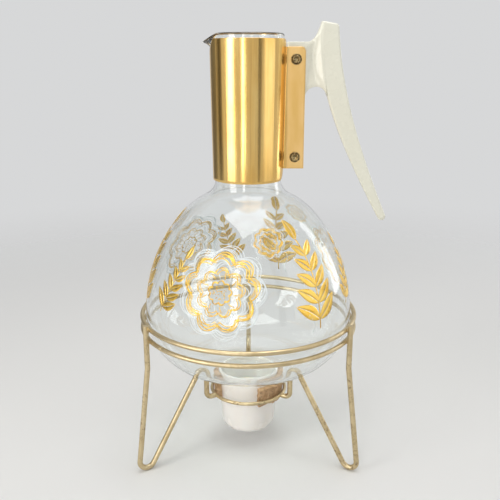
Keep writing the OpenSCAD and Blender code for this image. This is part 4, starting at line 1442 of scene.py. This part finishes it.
def lamp(name, place, aim, width, height, watts, colour):
    """A soft rectangular lamp turned to the point that it lights."""
    light = bpy.data.lights.new(name, "AREA")
    light.shape = "RECTANGLE"
    light.size, light.size_y = width, height
    light.energy = watts
    light.color = colour
    holder = bpy.data.objects.new(name, light)
    holder.location = place
    holder.rotation_euler = (aim - place).to_track_quat("-Z", "Y").to_euler()
    holder.visible_camera = False
    bpy.context.collection.objects.link(holder)
    print(f"{name}: {watts} W")


for name, azimuth, z, width, height, watts, colour in (
        ("window_left", 216, 0.50, 0.40, 0.95, 5.4, DAYLIGHT),
        ("window_front", 255, 0.50, 0.13, 0.95, 2.0, DAYLIGHT),
        ("strip_right", 336, 0.45, 0.60, 0.85, 1.2, WHITE),
        ("strip_back", 26, 0.45, 0.30, 0.85, 1.8, WHITE)):
    angle = math.radians(azimuth)
    place = Vector((LAMP_DISTANCE * math.cos(angle), LAMP_DISTANCE * math.sin(angle), z))
    lamp(name, place, Vector((0, 0, z)), width, height, watts, colour)
lamp("ceiling", OVERHEAD, LIT_POINT, 0.9, 0.9, 7.5, WHITE)

# %% [markdown]
# ## Dark boards
#
# As in any product studio, dark boards stand out of the picture. The gold collar mirrors them as
# dark lines, and the glass draws them along its outline. They thin out towards their edges, so
# that no reflection ends in a hard line, and they neither darken the set nor throw a shadow. The
# left one shows only in reflections, and the right one only through the glass.

# %% Dark boards for reflections
BOARD_DISTANCE, BOARD_HEIGHT, FULL_HALF = 0.95, 0.9, 0.26


def dark_cloth(name, shade):
    """Black or grey cloth that thins out towards its sides and its top."""
    cloth = Finish(name, Base_Color=(shade, shade, shade), Roughness=0.9)
    spot = cloth.node("ShaderNodeTexCoord", output="UV")
    down, across = cloth.along("X", spot), cloth.along("Y", spot)
    side = cloth.between(across.math("ABSOLUTE", across - 0.5, 0), FULL_HALF, 0.5)
    top = cloth.between(down, 0.0, 0.5, 1.0, 0.0)
    return cloth.clear_where(side.math("MAXIMUM", side, top))


def board(name, azimuth, width, shade, reflected=True, seen_through=True):
    shape = bmesh.new()
    shape.loops.layers.uv.new("across")
    bmesh.ops.create_grid(shape, x_segments=1, y_segments=1, size=0.5, calc_uvs=True)
    upright = Matrix.Rotation(math.pi / 2, 4, "Y") @ Matrix.Diagonal((BOARD_HEIGHT, width, 1, 1))
    place = Matrix.Translation((BOARD_DISTANCE, 0, BOARD_HEIGHT / 2))
    bmesh.ops.transform(shape, matrix=place @ upright, verts=shape.verts)
    made = object_of(name, swing(shape, azimuth), dark_cloth(name, shade))
    made.visible_camera = made.visible_diffuse = made.visible_shadow = False
    made.visible_glossy = reflected
    made.visible_transmission = seen_through
    print(f"{name}: {width} m wide")


board("dark_board_left", 141, 0.86, 0.22, seen_through=False)
board("dark_board_side", 175, 0.40, 0.10)
board("dark_board_front", 305, 0.15, 0.02)
board("dark_board_right", 357, 0.46, 0.14, reflected=False)

# %% [markdown]
# ## The camera
#
# It stands in front, nearly as high as the rim, and looks down at the middle of the set through a
# normal lens.

# %% Camera
CAMERA_PLACE, CAMERA_DOWN = Vector((1.3, -453.3, 284.3)), 16.2
LENS, SENSOR = 47.35, 36
lens = bpy.data.cameras.new("camera")
lens.lens, lens.sensor_width = LENS, SENSOR
camera = bpy.data.objects.new("camera", lens)
camera.location = AXIS + CAMERA_PLACE * MM
camera.rotation_euler = (math.radians(90 - CAMERA_DOWN), 0, 0)
bpy.context.collection.objects.link(camera)
scene.camera = camera
print(f"camera: {LENS} mm lens, tilted down by {CAMERA_DOWN} degrees")
